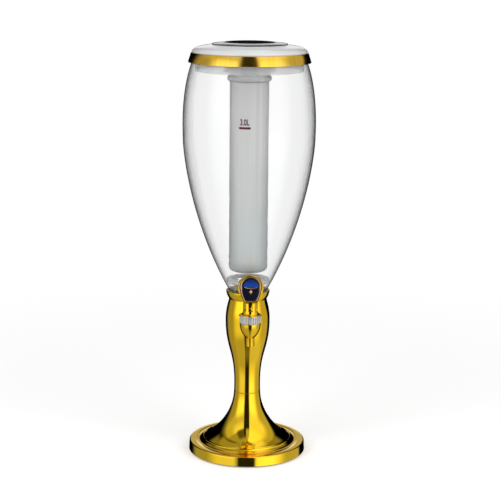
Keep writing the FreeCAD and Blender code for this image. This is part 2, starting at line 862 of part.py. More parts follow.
def cap_disc():
    edge = cap_edge_top + cap_rise - cap_disc_inset
    outline = Outline(0, cap_well).line(cap_disc_radius, cap_well).line(cap_disc_radius, edge)
    sphere_radius = (cap_disc_radius ** 2 + cap_disc_dome ** 2) / (2 * cap_disc_dome)
    drop = sphere_radius - math.sqrt(sphere_radius ** 2 - (cap_disc_radius / 2) ** 2)
    outline.arc((cap_disc_radius / 2, edge + cap_disc_dome - drop), (0, edge + cap_disc_dome))
    return outline.turn()


# Tap

tap_y = -tap_reach
saddle_back = -column_belly_radius - slip_fit
flange_back = saddle_back - saddle_thickness
flange_front = flange_back - shank_flange_thickness
shank_tip = -cup_boss_face + shank_seal_thickness + shank_nut_height + shank_end


def tap_body():
    outline = Outline(spout_bore_radius, bowl_bottom - spout_length)
    outline.line(spout_radius - spout_lip_round, bowl_bottom - spout_length)
    outline.quarter(spout_radius, bowl_bottom - spout_length + spout_lip_round, True)
    outline.line(spout_radius, bowl_bottom)
    outline.rise(bezier(
        at(spout_radius, bowl_bottom),
        at(spout_radius + bowl_base_spread, bowl_bottom + bowl_base_rise),
        at(bowl_radius, bowl_top - bowl_side_pull),
        at(bowl_radius, bowl_top)))
    outline.line(neck_radius, bowl_top).line(neck_radius, neck_top)
    outline.line(bowl_bore_radius, neck_top).line(bowl_bore_radius, seat_cone_top)
    outline.line(spout_bore_radius, seat_height)
    body = outline.turn(tap_y)
    cavity = Outline(0, seat_height).line(spout_bore_radius, seat_height)
    cavity.line(bowl_bore_radius, seat_cone_top).line(bowl_bore_radius, neck_top).line(0, neck_top)
    shank = rod_along_y(shank_radius, tap_y, shank_tip, shank_axis)
    flange = rod_along_y(shank_flange_radius, flange_front, flange_back, shank_axis)
    shank = shank.fuse(flange).cut(cavity.turn(tap_y))
    bore = rod_along_y(shank_bore_radius, tap_y, shank_tip, shank_axis)
    return clean(body.fuse(shank).cut(bore))


def shank_saddle():
    saddle = rod_along_y(shank_flange_radius, flange_back, -column_belly_radius / 2, shank_axis)
    low_z = shank_axis - shank_flange_radius - cut_margin
    high_z = shank_axis + shank_flange_radius + cut_margin
    outside = Outline(0, low_z)
    outside.rise(between(inner(column_curve_low, -slip_fit), low_z, column_belly))
    outside.rise(between(inner(column_curve_high, -slip_fit), column_belly, high_z))
    outside.line(0, high_z)
    saddle = saddle.cut(outside.turn())
    front = max(saddle.Solids, key=lambda piece: -piece.CenterOfMass.y)
    return clean(front.cut(shank_hole(flange_back, 0)))


def shank_seal():
    near = -cup_boss_face
    seal = rod_along_y(shank_seal_radius, near, near + shank_seal_thickness, shank_axis)
    return clean(seal.cut(shank_hole(near, near + shank_seal_thickness)))


def shank_nut():
    near = -cup_boss_face + shank_seal_thickness
    nut = hexagon(shank_nut_across_flats, Vector(0, near, shank_axis), Vector(0, 1, 0), shank_nut_height)
    hole = rod_along_y(shank_radius + bore_fit, near, near + shank_nut_height, shank_axis)
    return clean(nut.cut(hole))


def bonnet_nut():
    bore = neck_radius + slip_fit
    web = nut_top - nut_web_thickness
    outline = Outline(bore, nut_bottom).line(nut_radius, nut_bottom)
    outline.line(nut_radius, nut_top - nut_flange_thickness)
    outline.line(nut_flange_radius, nut_top - nut_flange_thickness).line(nut_flange_radius, nut_top)
    outline.line(post_radius + slip_fit, nut_top).line(post_radius + slip_fit, web).line(bore, web)
    nut = outline.turn(tap_y)
    grooves = [post(knurl_radius, nut_bottom, nut_top - nut_flange_thickness, spot.x, spot.y + tap_y)
               for spot in polar(knurl_count, nut_radius + knurl_radius / 3)]
    return clean(nut.cut(Part.makeCompound(grooves)))


post_groove_low = neck_top - post_plug_depth + post_ring_land
post_groove_high = post_groove_low + post_ring_section * 2 + ring_side_play
stem_groove_low = neck_top - post_plug_depth + stem_ring_land
stem_groove_high = stem_groove_low + stem_ring_section * 2 + ring_side_play
stem_groove_radius = stem_radius + (stem_ring_section + ring_side_play) * 2


def lever_post():
    stem_bore = stem_radius + slip_fit
    plug_low = neck_top - post_plug_depth
    groove = bowl_bore_radius - post_ring_section * 2
    outline = Outline(stem_bore, plug_low).line(post_plug_radius, plug_low)
    outline.line(post_plug_radius, post_groove_low).line(groove, post_groove_low)
    outline.line(groove, post_groove_high).line(post_plug_radius, post_groove_high)
    outline.line(post_plug_radius, neck_top).line(neck_radius, neck_top)
    outline.line(neck_radius, post_flange_top).line(post_radius, post_flange_top)
    outline.line(post_radius, post_top - post_edge_chamfer).line(post_radius - post_edge_chamfer, post_top)
    outline.line(stem_bore, post_top).line(stem_bore, stem_groove_high)
    outline.line(stem_groove_radius, stem_groove_high).line(stem_groove_radius, stem_groove_low)
    outline.line(stem_bore, stem_groove_low)
    solid = outline.turn(tap_y)
    slot = block(post_slot_width / 2, tap_y - post_radius, tap_y + post_radius,
                 post_top - post_slot_depth, post_top)
    hole = Part.makeCylinder(pin_radius + bore_fit, post_radius * 2,
                             Vector(-post_radius, tap_y - pin_offset, pin_height), Vector(1, 0, 0))
    return clean(solid.cut(slot).cut(hole))


def post_ring():
    centre = bowl_bore_radius - post_ring_section
    middle = (post_groove_low + post_groove_high) / 2
    return clean(Part.makeTorus(centre, post_ring_section - bore_fit, Vector(0, tap_y, middle), up))


def stem_ring():
    centre = stem_radius + stem_ring_section + ring_side_play
    middle = (stem_groove_low + stem_groove_high) / 2
    return clean(Part.makeTorus(centre, stem_ring_section - bore_fit, Vector(0, tap_y, middle), up))


def lever_pin():
    return Part.makeCylinder(pin_radius, pin_length,
                             Vector(-pin_length / 2, tap_y - pin_offset, pin_height), Vector(1, 0, 0))


def egg(radius, foot_half_width, bottom, top, front, back):
    """A plate with a round top and straight sides that taper to a flat foot."""
    centre = top - radius
    reach = math.hypot(foot_half_width, centre - bottom)
    lean = math.asin(radius / reach) - math.atan2(foot_half_width, centre - bottom)
    side_x = radius * math.cos(lean)
    side_z = centre - radius * math.sin(lean)
    left_foot = Vector(-foot_half_width, front, bottom)
    right_foot = Vector(foot_half_width, front, bottom)
    left_side = Vector(-side_x, front, side_z)
    right_side = Vector(side_x, front, side_z)
    edges = [Part.LineSegment(left_foot, right_foot).toShape(),
             Part.LineSegment(right_foot, right_side).toShape(),
             Part.Arc(right_side, Vector(0, front, top), left_side).toShape(),
             Part.LineSegment(left_side, left_foot).toShape()]
    return Part.Face(Part.Wire(edges)).extrude(Vector(0, back - front, 0))


paddle_face = tap_y - paddle_front
paddle_top = paddle_bottom + paddle_height


def badge_plate(front, back):
    return egg(badge_radius, badge_foot_half_width, paddle_bottom + badge_foot_rise,
               paddle_top - badge_top_margin, front, back)


def lever():
    pin_y = tap_y - pin_offset
    paddle = egg(paddle_radius, paddle_foot_half_width, paddle_bottom, paddle_top,
                 paddle_face, paddle_face + paddle_thickness)
    rims = [edge for edge in paddle.Edges
            if abs(edge.CenterOfMass.y - paddle_face) < 1e-3
            or abs(edge.CenterOfMass.y - paddle_face - paddle_thickness) < 1e-3]
    paddle = paddle.makeChamfer(paddle_edge_chamfer, rims)
    half = lever_width / 2
    hub = Part.makeCylinder(hub_radius, lever_width, Vector(-half, pin_y, pin_height), Vector(1, 0, 0))
    neck = block(half, pin_y - neck_front, pin_y + neck_rear, pin_height, paddle_bottom + neck_overlap)
    toe = Part.makeCylinder(toe_radius, lever_width, Vector(-half, tap_y, pin_height), Vector(1, 0, 0))
    finger = block(half, pin_y, tap_y, pin_height - toe_radius, pin_height + toe_radius)
    stem_room = stem_radius + stem_side_gap
    gap = block(stem_room, tap_y - stem_room - cut_margin, tap_y + toe_radius + cut_margin,
                pin_height - toe_radius - cut_margin, pin_height + toe_radius + cut_margin)
    fork = finger.fuse(toe).cut(gap)
    body = paddle.fuse(neck).fuse(hub).fuse(fork)
    body = body.cut(badge_plate(paddle_face - cut_margin, paddle_face + badge_recess))
    bore = Part.makeCylinder(pin_radius + running_fit, lever_width, Vector(-half, pin_y, pin_height),
                             Vector(1, 0, 0))
    return clean(body.cut(bore).removeSplitter())


def lever_badge():
    gap = bore_fit
    return egg(badge_radius - gap, badge_foot_half_width - gap, paddle_bottom + badge_foot_rise + gap,
               paddle_top - badge_top_margin - gap,
               paddle_face + badge_recess - badge_thickness, paddle_face + badge_recess)


# Valve

def seat_radius(height):
    share = (height - seat_height) / seat_cone_rise
    return spout_bore_radius + (bowl_bore_radius - spout_bore_radius) * share


def valve_stem():
    foot = plug_bottom + stem_foot_rise
    collar_top = plug_top + stem_collar_height
    outline = Outline(0, foot).line(stem_radius, foot)
    outline.line(stem_radius, plug_top).line(stem_collar_radius, plug_top)
    outline.line(stem_collar_radius, collar_top).line(stem_radius, collar_top)
    outline.line(stem_radius, head_bottom).line(stem_head_radius, head_bottom)
    outline.line(stem_head_radius, head_bottom + stem_head_height).line(0, head_bottom + stem_head_height)
    return outline.turn(tap_y)


def valve_plug():
    outline = Outline(0, plug_bottom).line(seat_radius(plug_bottom) - plug_gap, plug_bottom)
    outline.line(seat_radius(plug_top) - plug_gap, plug_top)
    pocket = plug_bottom + stem_foot_rise - bore_fit
    outline.line(stem_radius + bore_fit, plug_top).line(stem_radius + bore_fit, pocket)
    outline.line(0, pocket)
    return outline.turn(tap_y)


def valve_spring():
    low = plug_top + spring_wire_radius + bore_fit
    high = neck_top - post_plug_depth - spring_wire_radius - seat_gap
    height = high - low
    helix = Part.makeHelix(height / spring_turns, height, spring_radius)
    wire = Part.makeCircle(spring_wire_radius, Vector(spring_radius, 0, 0), Vector(0, 1, 0))
    coil = Part.Wire(helix.Edges).makePipeShell([Part.Wire([wire])], True, True)
    coil.translate(Vector(0, tap_y, low))
    return clean(Part.Solid(coil) if not coil.Solids else coil)


pieces = {
    "rubber_pads": rubber_pads,
    "base_cover": base_cover,
    "cover_screws": cover_screws,
    "base_weight": base_weight,
    "base_plinth": base_plinth,
    "foot_trumpet": foot_trumpet,
    "tie_rod": tie_rod,
    "tie_nuts": tie_nuts,
    "tie_washers": tie_washers,
    "column_shell": column_shell,
    "collar": collar,
    "outlet_cup": outlet_cup,
    "vessel_gasket": vessel_gasket,
    "vessel": vessel,
    "flow_ring": flow_ring,
    "lid": lid,
    "lid_seal": lid_seal,
    "trim_ring": trim_ring,
    "ice_tube": ice_tube,
    "ice_tube_seal": ice_tube_seal,
    "cap_body": cap_body,
    "cap_seal": cap_seal,
    "cap_bezel": cap_bezel,
    "cap_disc": cap_disc,
    "tap_body": tap_body,
    "shank_saddle": shank_saddle,
    "shank_seal": shank_seal,
    "shank_nut": shank_nut,
    "bonnet_nut": bonnet_nut,
    "lever_post": lever_post,
    "post_ring": post_ring,
    "stem_ring": stem_ring,
    "lever_pin": lever_pin,
    "lever": lever,
    "lever_badge": lever_badge,
    "valve_stem": valve_stem,
    "valve_plug": valve_plug,
    "valve_spring": valve_spring,
}

os.makedirs("parts", exist_ok=True)
for name, make in pieces.items():
    shape = make()
    shape.exportStep("parts/" + name + ".step")
    box = shape.BoundBox
    print(f"{name:16s} solids {len(shape.Solids)} valid {shape.isValid()} volume {shape.Volume / 1000:9.3f} cm3"
          f"  z {box.ZMin:7.2f} to {box.ZMax:7.2f}  y {box.YMin:7.2f} to {box.YMax:7.2f}")
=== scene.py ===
import math
import bmesh
import bpy
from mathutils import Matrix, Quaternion, Vector


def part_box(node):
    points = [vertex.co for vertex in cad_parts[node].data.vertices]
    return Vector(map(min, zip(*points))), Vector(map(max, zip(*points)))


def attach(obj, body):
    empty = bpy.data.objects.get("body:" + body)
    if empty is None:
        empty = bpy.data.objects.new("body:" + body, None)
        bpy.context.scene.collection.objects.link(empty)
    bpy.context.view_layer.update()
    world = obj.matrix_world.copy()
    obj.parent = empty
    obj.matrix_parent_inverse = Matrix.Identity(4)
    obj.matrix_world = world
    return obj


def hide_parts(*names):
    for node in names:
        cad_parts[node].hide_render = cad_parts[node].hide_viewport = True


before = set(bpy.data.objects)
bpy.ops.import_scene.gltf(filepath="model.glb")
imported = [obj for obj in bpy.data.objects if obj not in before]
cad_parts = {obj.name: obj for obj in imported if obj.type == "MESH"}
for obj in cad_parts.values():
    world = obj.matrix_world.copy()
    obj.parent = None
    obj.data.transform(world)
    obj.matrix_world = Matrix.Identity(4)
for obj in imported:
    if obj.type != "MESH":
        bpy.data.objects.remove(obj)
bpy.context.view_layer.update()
mm = 0.001
print("frame loaded:", len(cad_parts), "nodes")


class Signal:  # an output socket; operators add Math nodes to its tree
    def __init__(self, graph, socket):
        self.graph = graph
        self.socket = socket

    def maths(self, operation, *others):
        return self.graph.maths(operation, self, *others)

    def __add__(self, other):
        return self.maths("ADD", other)

    def __sub__(self, other):
        return self.maths("SUBTRACT", other)

    def __rsub__(self, other):
        return self.graph.maths("SUBTRACT", other, self)

    def __mul__(self, other):
        return self.maths("MULTIPLY", other)

    def __truediv__(self, other):
        return self.maths("DIVIDE", other)

    def __rtruediv__(self, other):
        return self.graph.maths("DIVIDE", other, self)

    def __pow__(self, other):
        return self.maths("POWER", other)

    def __rpow__(self, other):
        return self.graph.maths("POWER", other, self)

    def __neg__(self):
        return self.maths("MULTIPLY", -1.0)

    def __gt__(self, other):
        return self.maths("GREATER_THAN", other)

    def __lt__(self, other):
        return self.maths("LESS_THAN", other)

    __radd__, __rmul__ = __add__, __mul__


class Graph:
    def __init__(self, tree):
        self.tree = tree
        tree.nodes.clear()

    def node(self, kind, settings=None, values=None):
        made = self.tree.nodes.new(kind)
        for name, value in (settings or {}).items():
            setattr(made, name, value)
        for name, value in (values or {}).items():
            if isinstance(value, Signal):
                self.tree.links.new(value.socket, made.inputs[name])
            else:
                made.inputs[name].default_value = value
        return made

    def out(self, kind, settings=None, values=None, output=0):
        return Signal(self, self.node(kind, settings, values).outputs[output])

    def maths(self, operation, *values):
        return self.out("ShaderNodeMath", {"operation": operation}, dict(enumerate(values)))

    def split(self, vector):
        made = self.node("ShaderNodeSeparateXYZ", None, {0: vector})
        return [Signal(self, socket) for socket in made.outputs]

    def join(self, x, y, z):
        return self.out("ShaderNodeCombineXYZ", None, {0: x, 1: y, 2: z})

    def ease(self, value, low, high, first=0.0, last=1.0):  # smooth step from first to last
        return self.out("ShaderNodeMapRange", {"interpolation_type": "SMOOTHSTEP"},
                        {0: value, 1: low, 2: high, 3: first, 4: last})

    def panel(self, value, low, high, softLow, softHigh):  # one between two soft edges
        rising = self.ease(value, low - softLow, low + softLow)
        return rising * self.ease(value, high - softHigh, high + softHigh, 1.0, 0.0)

    def blend(self, factor, first, last):  # colours
        return self.out("ShaderNodeMix", {"data_type": "RGBA"}, {0: factor, 6: first, 7: last}, 2)

    def noise(self, where, scale, detail=2.0, roughness=0.5):
        return self.out("ShaderNodeTexNoise", None, {
            "Vector": where, "Scale": scale, "Detail": detail, "Roughness": roughness})

    def streaks(self, where, perTurn, perHeight, detail):  # noise drawn out on a turned piece
        x, y, z = self.split(where)
        drawn = self.join(self.maths("ARCTAN2", y, x) * perTurn, 0.0, z * perHeight)
        return self.noise(drawn, 1.0, detail)

    def bump(self, height, strength, distance):
        return self.out("ShaderNodeBump", None, {
            "Strength": strength, "Distance": distance, "Height": height})

    def principled(self, values):
        return self.out("ShaderNodeBsdfPrincipled", None, values)

    def emission(self, strength):
        return self.out("ShaderNodeEmission", None, {0: rgb(1, 1, 1), 1: strength})

    def clear(self, share):
        return self.out("ShaderNodeBsdfTransparent", None, {0: rgb(share, share, share)})

    def mixed(self, factor, first, last):  # shaders
        return self.out("ShaderNodeMixShader", None, {0: factor, 1: first, 2: last})

    def rays(self):  # reads what kind of ray looks, by name
        path = self.node("ShaderNodeLightPath")
        return lambda name: Signal(self, path.outputs[name])

    def mirrored(self, ray):  # one on rays that a polished surface sends out
        return (ray("Glossy Depth") > 0.5) * (1.0 - ray("Is Diffuse Ray"))


def rgb(red, green, blue):
    return (red, green, blue, 1.0)


def startMaterial(name):
    material = bpy.data.materials.new(name)
    material.use_nodes = True
    graph = Graph(material.node_tree)
    return material, graph, graph.out("ShaderNodeTexCoord", None, None, "Object")


def finishMaterial(material, graph, shader):
    graph.node("ShaderNodeOutputMaterial", None, {0: shader})
    return material


# in a look, a noise is its scale, detail and roughness, streaks are how often they come in a
# turn and in height with their detail, an edge is where a change starts and ends, and a bump is
# its strength and depth
goldLook = {
    "plate": rgb(0.97, 0.635, 0.030),
    "thin": rgb(0.94, 0.585, 0.018),      # where the plating is a shade deeper
    "cloud": (28.0, 3.0),
    "cloudEdge": (0.35, 0.7),
    "smear": (60.0, 5.0, 0.62),
    "smearEdge": (0.5, 0.72),
    "smearRough": 0.05,
    "grain": (900.0, 2.0),
    "grainRough": 0.015,
    "wave": (140.0, 1.0),
    "waveBump": (0.12, 0.00004),
    "roughness": 0.045,
    "coat": 0.06,
    "coatRoughness": 0.03,
}


def goldColour(graph, cloud):
    thin = graph.ease(cloud, *goldLook["cloudEdge"])
    return graph.blend(thin, goldLook["plate"], goldLook["thin"])


def goldWave(graph, where):
    return graph.bump(graph.noise(where, *goldLook["wave"]), *goldLook["waveBump"])


def goldPlate(name, look):
    material, graph, where = startMaterial(name)
    smear = graph.ease(graph.noise(where, *look["smear"]), *look["smearEdge"])
    grain = graph.noise(where, *look["grain"])
    return finishMaterial(material, graph, graph.principled({
        "Base Color": goldColour(graph, graph.noise(where, *look["cloud"])), "Metallic": 1.0,
        "Roughness": look["roughness"] + smear * look["smearRough"] + grain * look["grainRough"],
        "Coat Weight": look["coat"], "Coat Roughness": look["coatRoughness"],
        "Normal": goldWave(graph, where)}))


ringLook = {
    "plate": rgb(0.97, 0.63, 0.085),
    "deep": rgb(0.92, 0.53, 0.045),
    "fine": (160.0, 30.0, 3.0),
    "fineRough": 0.10,
    "fineBump": (0.10, 0.00005),
    "broad": (22.0, 8.0, 2.0),
    "broadEdge": (0.3, 0.75),
    "roughness": 0.10,
}


def brushedRing(name, look):
    material, graph, where = startMaterial(name)
    fine, broad = (graph.streaks(where, *look[key]) for key in ("fine", "broad"))
    deep = graph.ease(broad, *look["broadEdge"])
    return finishMaterial(material, graph, graph.principled({
        "Base Color": graph.blend(deep, look["plate"], look["deep"]), "Metallic": 1.0,
        "Roughness": look["roughness"] + fine * look["fineRough"],
        "Normal": graph.bump(fine, *look["fineBump"])}))


def lampsThrough(graph, surface, share):  # lamps reach what stands behind the plastic
    return graph.mixed(graph.rays()("Is Shadow Ray"), surface, graph.clear(share))


vesselLook = {
    "tint": rgb(0.985, 0.990, 0.987),
    "drawn": (9.0, 1.5, 2.0),
    "drawnBump": (0.25, 0.0003),
    "scuff": (220.0, 4.0, 0.7),
    "scuffEdge": (0.62, 0.8),
    "scuffRough": 0.05,
    "roughness": 0.012,
    "ior": 1.49,
    "lampShare": 0.92,
}


def clearPlastic(name, look):
    material, graph, where = startMaterial(name)
    scuff = graph.ease(graph.noise(where, *look["scuff"]), *look["scuffEdge"])
    surface = graph.principled({
        "Base Color": look["tint"], "Roughness": look["roughness"] + scuff * look["scuffRough"],
        "IOR": look["ior"], "Transmission Weight": 1.0,
        "Normal": graph.bump(graph.streaks(where, *look["drawn"]), *look["drawnBump"])})
    return finishMaterial(material, graph, lampsThrough(graph, surface, look["lampShare"]))


frostLook = {
    "tint": rgb(0.86, 0.865, 0.865),
    "pale": rgb(0.97, 0.97, 0.965),
    "cool": rgb(0.86, 0.905, 0.91),       # a colder tone towards the closed end
    "coolEdge": (290.0 * mm, 430.0 * mm),
    "coolShare": 0.6,
    "streak": (5.5, 2.0, 3.0),
    "streakEdge": (0.35, 0.62),
    "grain": (1500.0, 2.0),
    "grainRough": 0.12,
    "grainBump": (0.25, 0.00008),
    "roughness": 0.42,
    "ior": 1.40,
    "clear": 0.85,
    "coat": 0.15,
    "coatRoughness": 0.22,
    "lampShare": 0.7,
}


def frostedPlastic(name, look):
    material, graph, where = startMaterial(name)
    height = graph.split(where)[2]
    grain = graph.noise(where, *look["grain"])
    streak = graph.ease(graph.streaks(where, *look["streak"]), *look["streakEdge"])
    cool = graph.ease(height, *look["coolEdge"], look["coolShare"], 0.0)
    colour = graph.blend(cool, graph.blend(streak, look["tint"], look["pale"]), look["cool"])
    surface = graph.principled({
        "Base Color": colour, "Roughness": look["roughness"] + grain * look["grainRough"],
        "IOR": look["ior"], "Transmission Weight": look["clear"],
        "Coat Weight": look["coat"], "Coat Roughness": look["coatRoughness"],
        "Normal": graph.bump(grain, *look["grainBump"])})
    return finishMaterial(material, graph, lampsThrough(graph, surface, look["lampShare"]))


lidLook = {
    "dome": rgb(0.70, 0.705, 0.71),
    "shade": rgb(0.66, 0.665, 0.67),
    "plug": rgb(0.76, 0.77, 0.765),
    "clearBelow": 558.0 * mm,     # under the ring the plastic is thin and see-through
    "clearEdge": 0.3 * mm,
    "plugAlpha": 0.42,
    "plugCloud": 0.06,
    "cloud": (30.0, 3.0),
    "cloudEdge": (0.3, 0.7),
    "grain": (900.0, 2.0),
    "grainRough": 0.05,
    "grainBump": (0.05, 0.00005),
    "roughness": 0.16,
    "coat": 0.4,
    "coatRoughness": 0.05,
}
# the flow ring lies below the clear height, so it is plug all over
flowLook = {**lidLook, "plug": rgb(0.77, 0.77, 0.72), "plugAlpha": 0.85, "roughness": 0.3}


def lidPlastic(name, look):
    material, graph, where = startMaterial(name)
    cloud, grain = (graph.noise(where, *look[key]) for key in ("cloud", "grain"))
    height, clearBelow, soft = graph.split(where)[2], look["clearBelow"], look["clearEdge"]
    above = graph.ease(height, clearBelow - soft, clearBelow + soft)
    milky = graph.blend(graph.ease(cloud, *look["cloudEdge"]), look["dome"], look["shade"])
    thin = cloud * look["plugCloud"] + (look["plugAlpha"] - look["plugCloud"] / 2)
    return finishMaterial(material, graph, graph.principled({
        "Base Color": graph.blend(above, look["plug"], milky),
        "Roughness": look["roughness"] + grain * look["grainRough"],
        "Coat Weight": look["coat"], "Coat Roughness": look["coatRoughness"],
        "Alpha": above * (1.0 - look["plugAlpha"]) + thin,
        "Normal": graph.bump(grain, *look["grainBump"])}))


collarLook = {
    "satin": rgb(0.92, 0.85, 0.60),       # the unplated inside
    "satinShade": rgb(0.84, 0.76, 0.50),
    "satinRough": 0.38,
    "platedRough": 0.065,
    "cloud": (45.0, 3.0),
    "cloudRough": 0.02,
    "foot": (221.6 * mm, 25.4 * mm),      # height and radius of the wall's middle at its foot
    "slope": 0.681,
    "bend": -26.64,
}


def linedGold(name, look):  # plated outside, satin inside
    material, graph, where = startMaterial(name)
    x, y, z = graph.split(where)
    rise = z - look["foot"][0]
    middle = rise * rise * look["bend"] + rise * look["slope"] + look["foot"][1]
    outside = (x * x + y * y) ** 0.5 > middle
    cloud = graph.noise(where, *look["cloud"])
    satin = graph.blend(cloud, look["satin"], look["satinShade"])
    rough = look["satinRough"] + outside * (look["platedRough"] - look["satinRough"])
    return finishMaterial(material, graph, graph.principled({
        "Base Color": graph.blend(outside, satin, goldColour(graph, cloud)), "Metallic": outside,
        "Roughness": rough + cloud * look["cloudRough"], "Normal": goldWave(graph, where)}))


mouldedBase = {"metal": 0.0, "shine": 0.5, "cloudScale": 35.0, "cloudEdge": (0.3, 0.75),
               "cloudRough": 0.03, "grainScale": 1400.0, "grainRough": 0.06,
               "grain": 0.2, "grainDepth": 0.00006}


def moulded(name, own):  # plastic, rubber and dull metal pieces
    material, graph, where = startMaterial(name)
    look = {**mouldedBase, **own}
    cloud = graph.noise(where, look["cloudScale"], 3.0)
    grain = graph.noise(where, look["grainScale"], 2.0)
    shaded = graph.ease(cloud, *look["cloudEdge"])
    return finishMaterial(material, graph, graph.principled({
        "Base Color": graph.blend(shaded, look["colour"], look["shade"]),
        "Roughness": look["roughness"] + grain * look["grainRough"] + cloud * look["cloudRough"],
        "Metallic": look["metal"], "Specular IOR Level": look["shine"],
        "Normal": graph.bump(grain, look["grain"], look["grainDepth"])}))


mouldedLooks = {
    "dark_chrome": {"colour": rgb(0.27, 0.27, 0.267), "shade": rgb(0.22, 0.22, 0.218),
                    "roughness": 0.06, "metal": 1.0, "grain": 0.03},
    "black_gloss": {"colour": rgb(0.005, 0.005, 0.006), "shade": rgb(0.010, 0.010, 0.011),
                    "roughness": 0.3, "shine": 0.0, "grain": 0.03},
    "black_plastic": {"colour": rgb(0.018, 0.018, 0.019), "shade": rgb(0.028, 0.028, 0.03),
                      "roughness": 0.42, "grain": 0.5, "grainDepth": 0.00012},
    "white_plastic": {"colour": rgb(0.78, 0.78, 0.76), "shade": rgb(0.72, 0.72, 0.70),
                      "roughness": 0.3, "grain": 0.15},
    "silicone": {"colour": rgb(0.70, 0.71, 0.71), "shade": rgb(0.63, 0.64, 0.65),
                 "roughness": 0.45},
    "rubber": {"colour": rgb(0.022, 0.022, 0.023), "shade": rgb(0.035, 0.035, 0.036),
               "roughness": 0.7, "grain": 0.6, "grainDepth": 0.00015},
    "zinc_steel": {"colour": rgb(0.55, 0.56, 0.58), "shade": rgb(0.44, 0.45, 0.47),
                   "roughness": 0.28, "metal": 1.0, "cloudScale": 120.0},
    "stainless": {"colour": rgb(0.62, 0.61, 0.59), "shade": rgb(0.55, 0.54, 0.53),
                  "roughness": 0.2, "metal": 1.0},
    "cast_weight": {"colour": rgb(0.16, 0.155, 0.15), "shade": rgb(0.10, 0.098, 0.095),
                    "roughness": 0.6, "metal": 0.6, "grain": 0.8, "grainScale": 500.0,
                    "grainDepth": 0.0003},
}
nutLook = {"colour": rgb(0.60, 0.60, 0.555), "shade": rgb(0.48, 0.48, 0.435),
           "roughness": 0.09, "metal": 0.55, "grain": 0.06, "grainScale": 900.0}
markLook = {"colour": rgb(0.08, 0.004, 0.010), "shade": rgb(0.12, 0.008, 0.015),
            "roughness": 0.5, "grain": 0.3}
bronzeLook = {"colour": rgb(0.70, 0.44, 0.22), "shade": rgb(0.58, 0.34, 0.15),
              "roughness": 0.22, "metal": 1.0, "grain": 0.05}

badgeLook = {
    "night": rgb(0.005, 0.006, 0.016),
    "blue": rgb(0.009, 0.050, 0.29),
    "blueTop": rgb(0.006, 0.020, 0.12),
    "deepEdge": (254.6 * mm, 262.6 * mm),
    "middle": 253.0 * mm,         # the blue field is a lens cut off by an arc
    "halfWidth": 10.1 * mm,
    "halfHeight": 10.4 * mm,
    "lensEdge": (-0.04, 0.06),
    "fieldBottom": 250.6 * mm,
    "fieldEdge": 0.25 * mm,
    "fieldBump": (0.35, 0.00008),
    "arcBend": 26.0,
    "fleck": (2600.0, 2.0),
    "fleckRough": 0.08,
    "roughness": 0.12,
    "coatRoughness": 0.03,
}


def enamelBadge(name, look):
    material, graph, where = startMaterial(name)
    x, _, z = graph.split(where)
    across, up = x / look["halfWidth"], (z - look["middle"]) / look["halfHeight"]
    bottom, soft = look["fieldBottom"], look["fieldEdge"]
    above = graph.ease(z - x * x * look["arcBend"], bottom - soft, bottom + soft)
    field = graph.ease(1.0 - (across * across + up * up), *look["lensEdge"]) * above
    blue = graph.blend(graph.ease(z, *look["deepEdge"]), look["blue"], look["blueTop"])
    fleck = graph.noise(where, *look["fleck"])
    return finishMaterial(material, graph, graph.principled({
        "Base Color": graph.blend(field, look["night"], blue),
        "Roughness": look["roughness"] + fleck * look["fleckRough"],
        "Coat Weight": 1.0, "Coat Roughness": look["coatRoughness"],
        "Normal": graph.bump(field, *look["fieldBump"])}))


materials = {
    "plated_gold": goldPlate("platedGold", goldLook),
    "clear_plastic": clearPlastic("clearPlastic", vesselLook),
    "frosted_plastic": frostedPlastic("frostedPlastic", frostLook),
    "clear_nut": moulded("clearNut", nutLook),
    "lid_plastic": lidPlastic("lidPlastic", lidLook),
    "badge": enamelBadge("enamelBadge", badgeLook),
}
for slotName, slotLook in mouldedLooks.items():
    materials[slotName] = moulded(slotName, slotLook)
ringGold = brushedRing("ringGold", ringLook)
collarGold = linedGold("collarGold", collarLook)
bronze = moulded("bronzeTrim", bronzeLook)
flowPlastic = lidPlastic("flowPlastic", flowLook)
markPrint = moulded("markPrint", markLook)

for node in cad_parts.values():
    node.data.materials[0] = materials[node.data.materials[0].name]
print("materials made:", len(bpy.data.materials))


def shifted(point, move):
    return (point[0] + move[0], point[1] + move[1])


def lean(start, degreesFromLevel, distance):
    angle = math.radians(degreesFromLevel)
    return shifted(start, (math.cos(angle) * distance, math.sin(angle) * distance))


def bezier(a, b, c, d, steps=40):
    points = []
    for index in range(steps + 1):
        t = index / steps
        s = 1 - t
        weights = (s ** 3, 3 * s * s * t, 3 * s * t * t, t ** 3)
        points.append(tuple(sum(w * p[axis] for w, p in zip(weights, (a, b, c, d)))
                            for axis in (0, 1)))
    return points


def inward(points, distance):  # the same rising line, moved towards the axis
    moved = []
    for index, point in enumerate(points):
        before = points[max(index - 1, 0)]
        after = points[min(index + 1, len(points) - 1)]
        run, rise = after[0] - before[0], after[1] - before[1]
        share = distance / math.hypot(run, rise)
        moved.append(shifted(point, (-rise * share, run * share)))
    return moved


def arc(start, through, end, steps=14):
    corners = (start, through, end)
    (ax, ay), (bx, by), (cx, cy) = corners
    a, b, c = (x * x + y * y for x, y in corners)
    twice = 2 * (ax * (by - cy) + bx * (cy - ay) + cx * (ay - by))
    middleX = (a * (by - cy) + b * (cy - ay) + c * (ay - by)) / twice
    middleY = (a * (cx - bx) + b * (ax - cx) + c * (bx - ax)) / twice
    radius = math.hypot(ax - middleX, ay - middleY)
    first, second, third = (math.atan2(y - middleY, x - middleX) for x, y in corners)
    half, whole = ((angle - first) % (2 * math.pi) for angle in (second, third))
    if half > whole:
        whole -= 2 * math.pi
    angles = [first + whole * index / steps for index in range(steps + 1)]
    return [(middleX + radius * math.cos(angle), middleY + radius * math.sin(angle))
            for angle in angles]


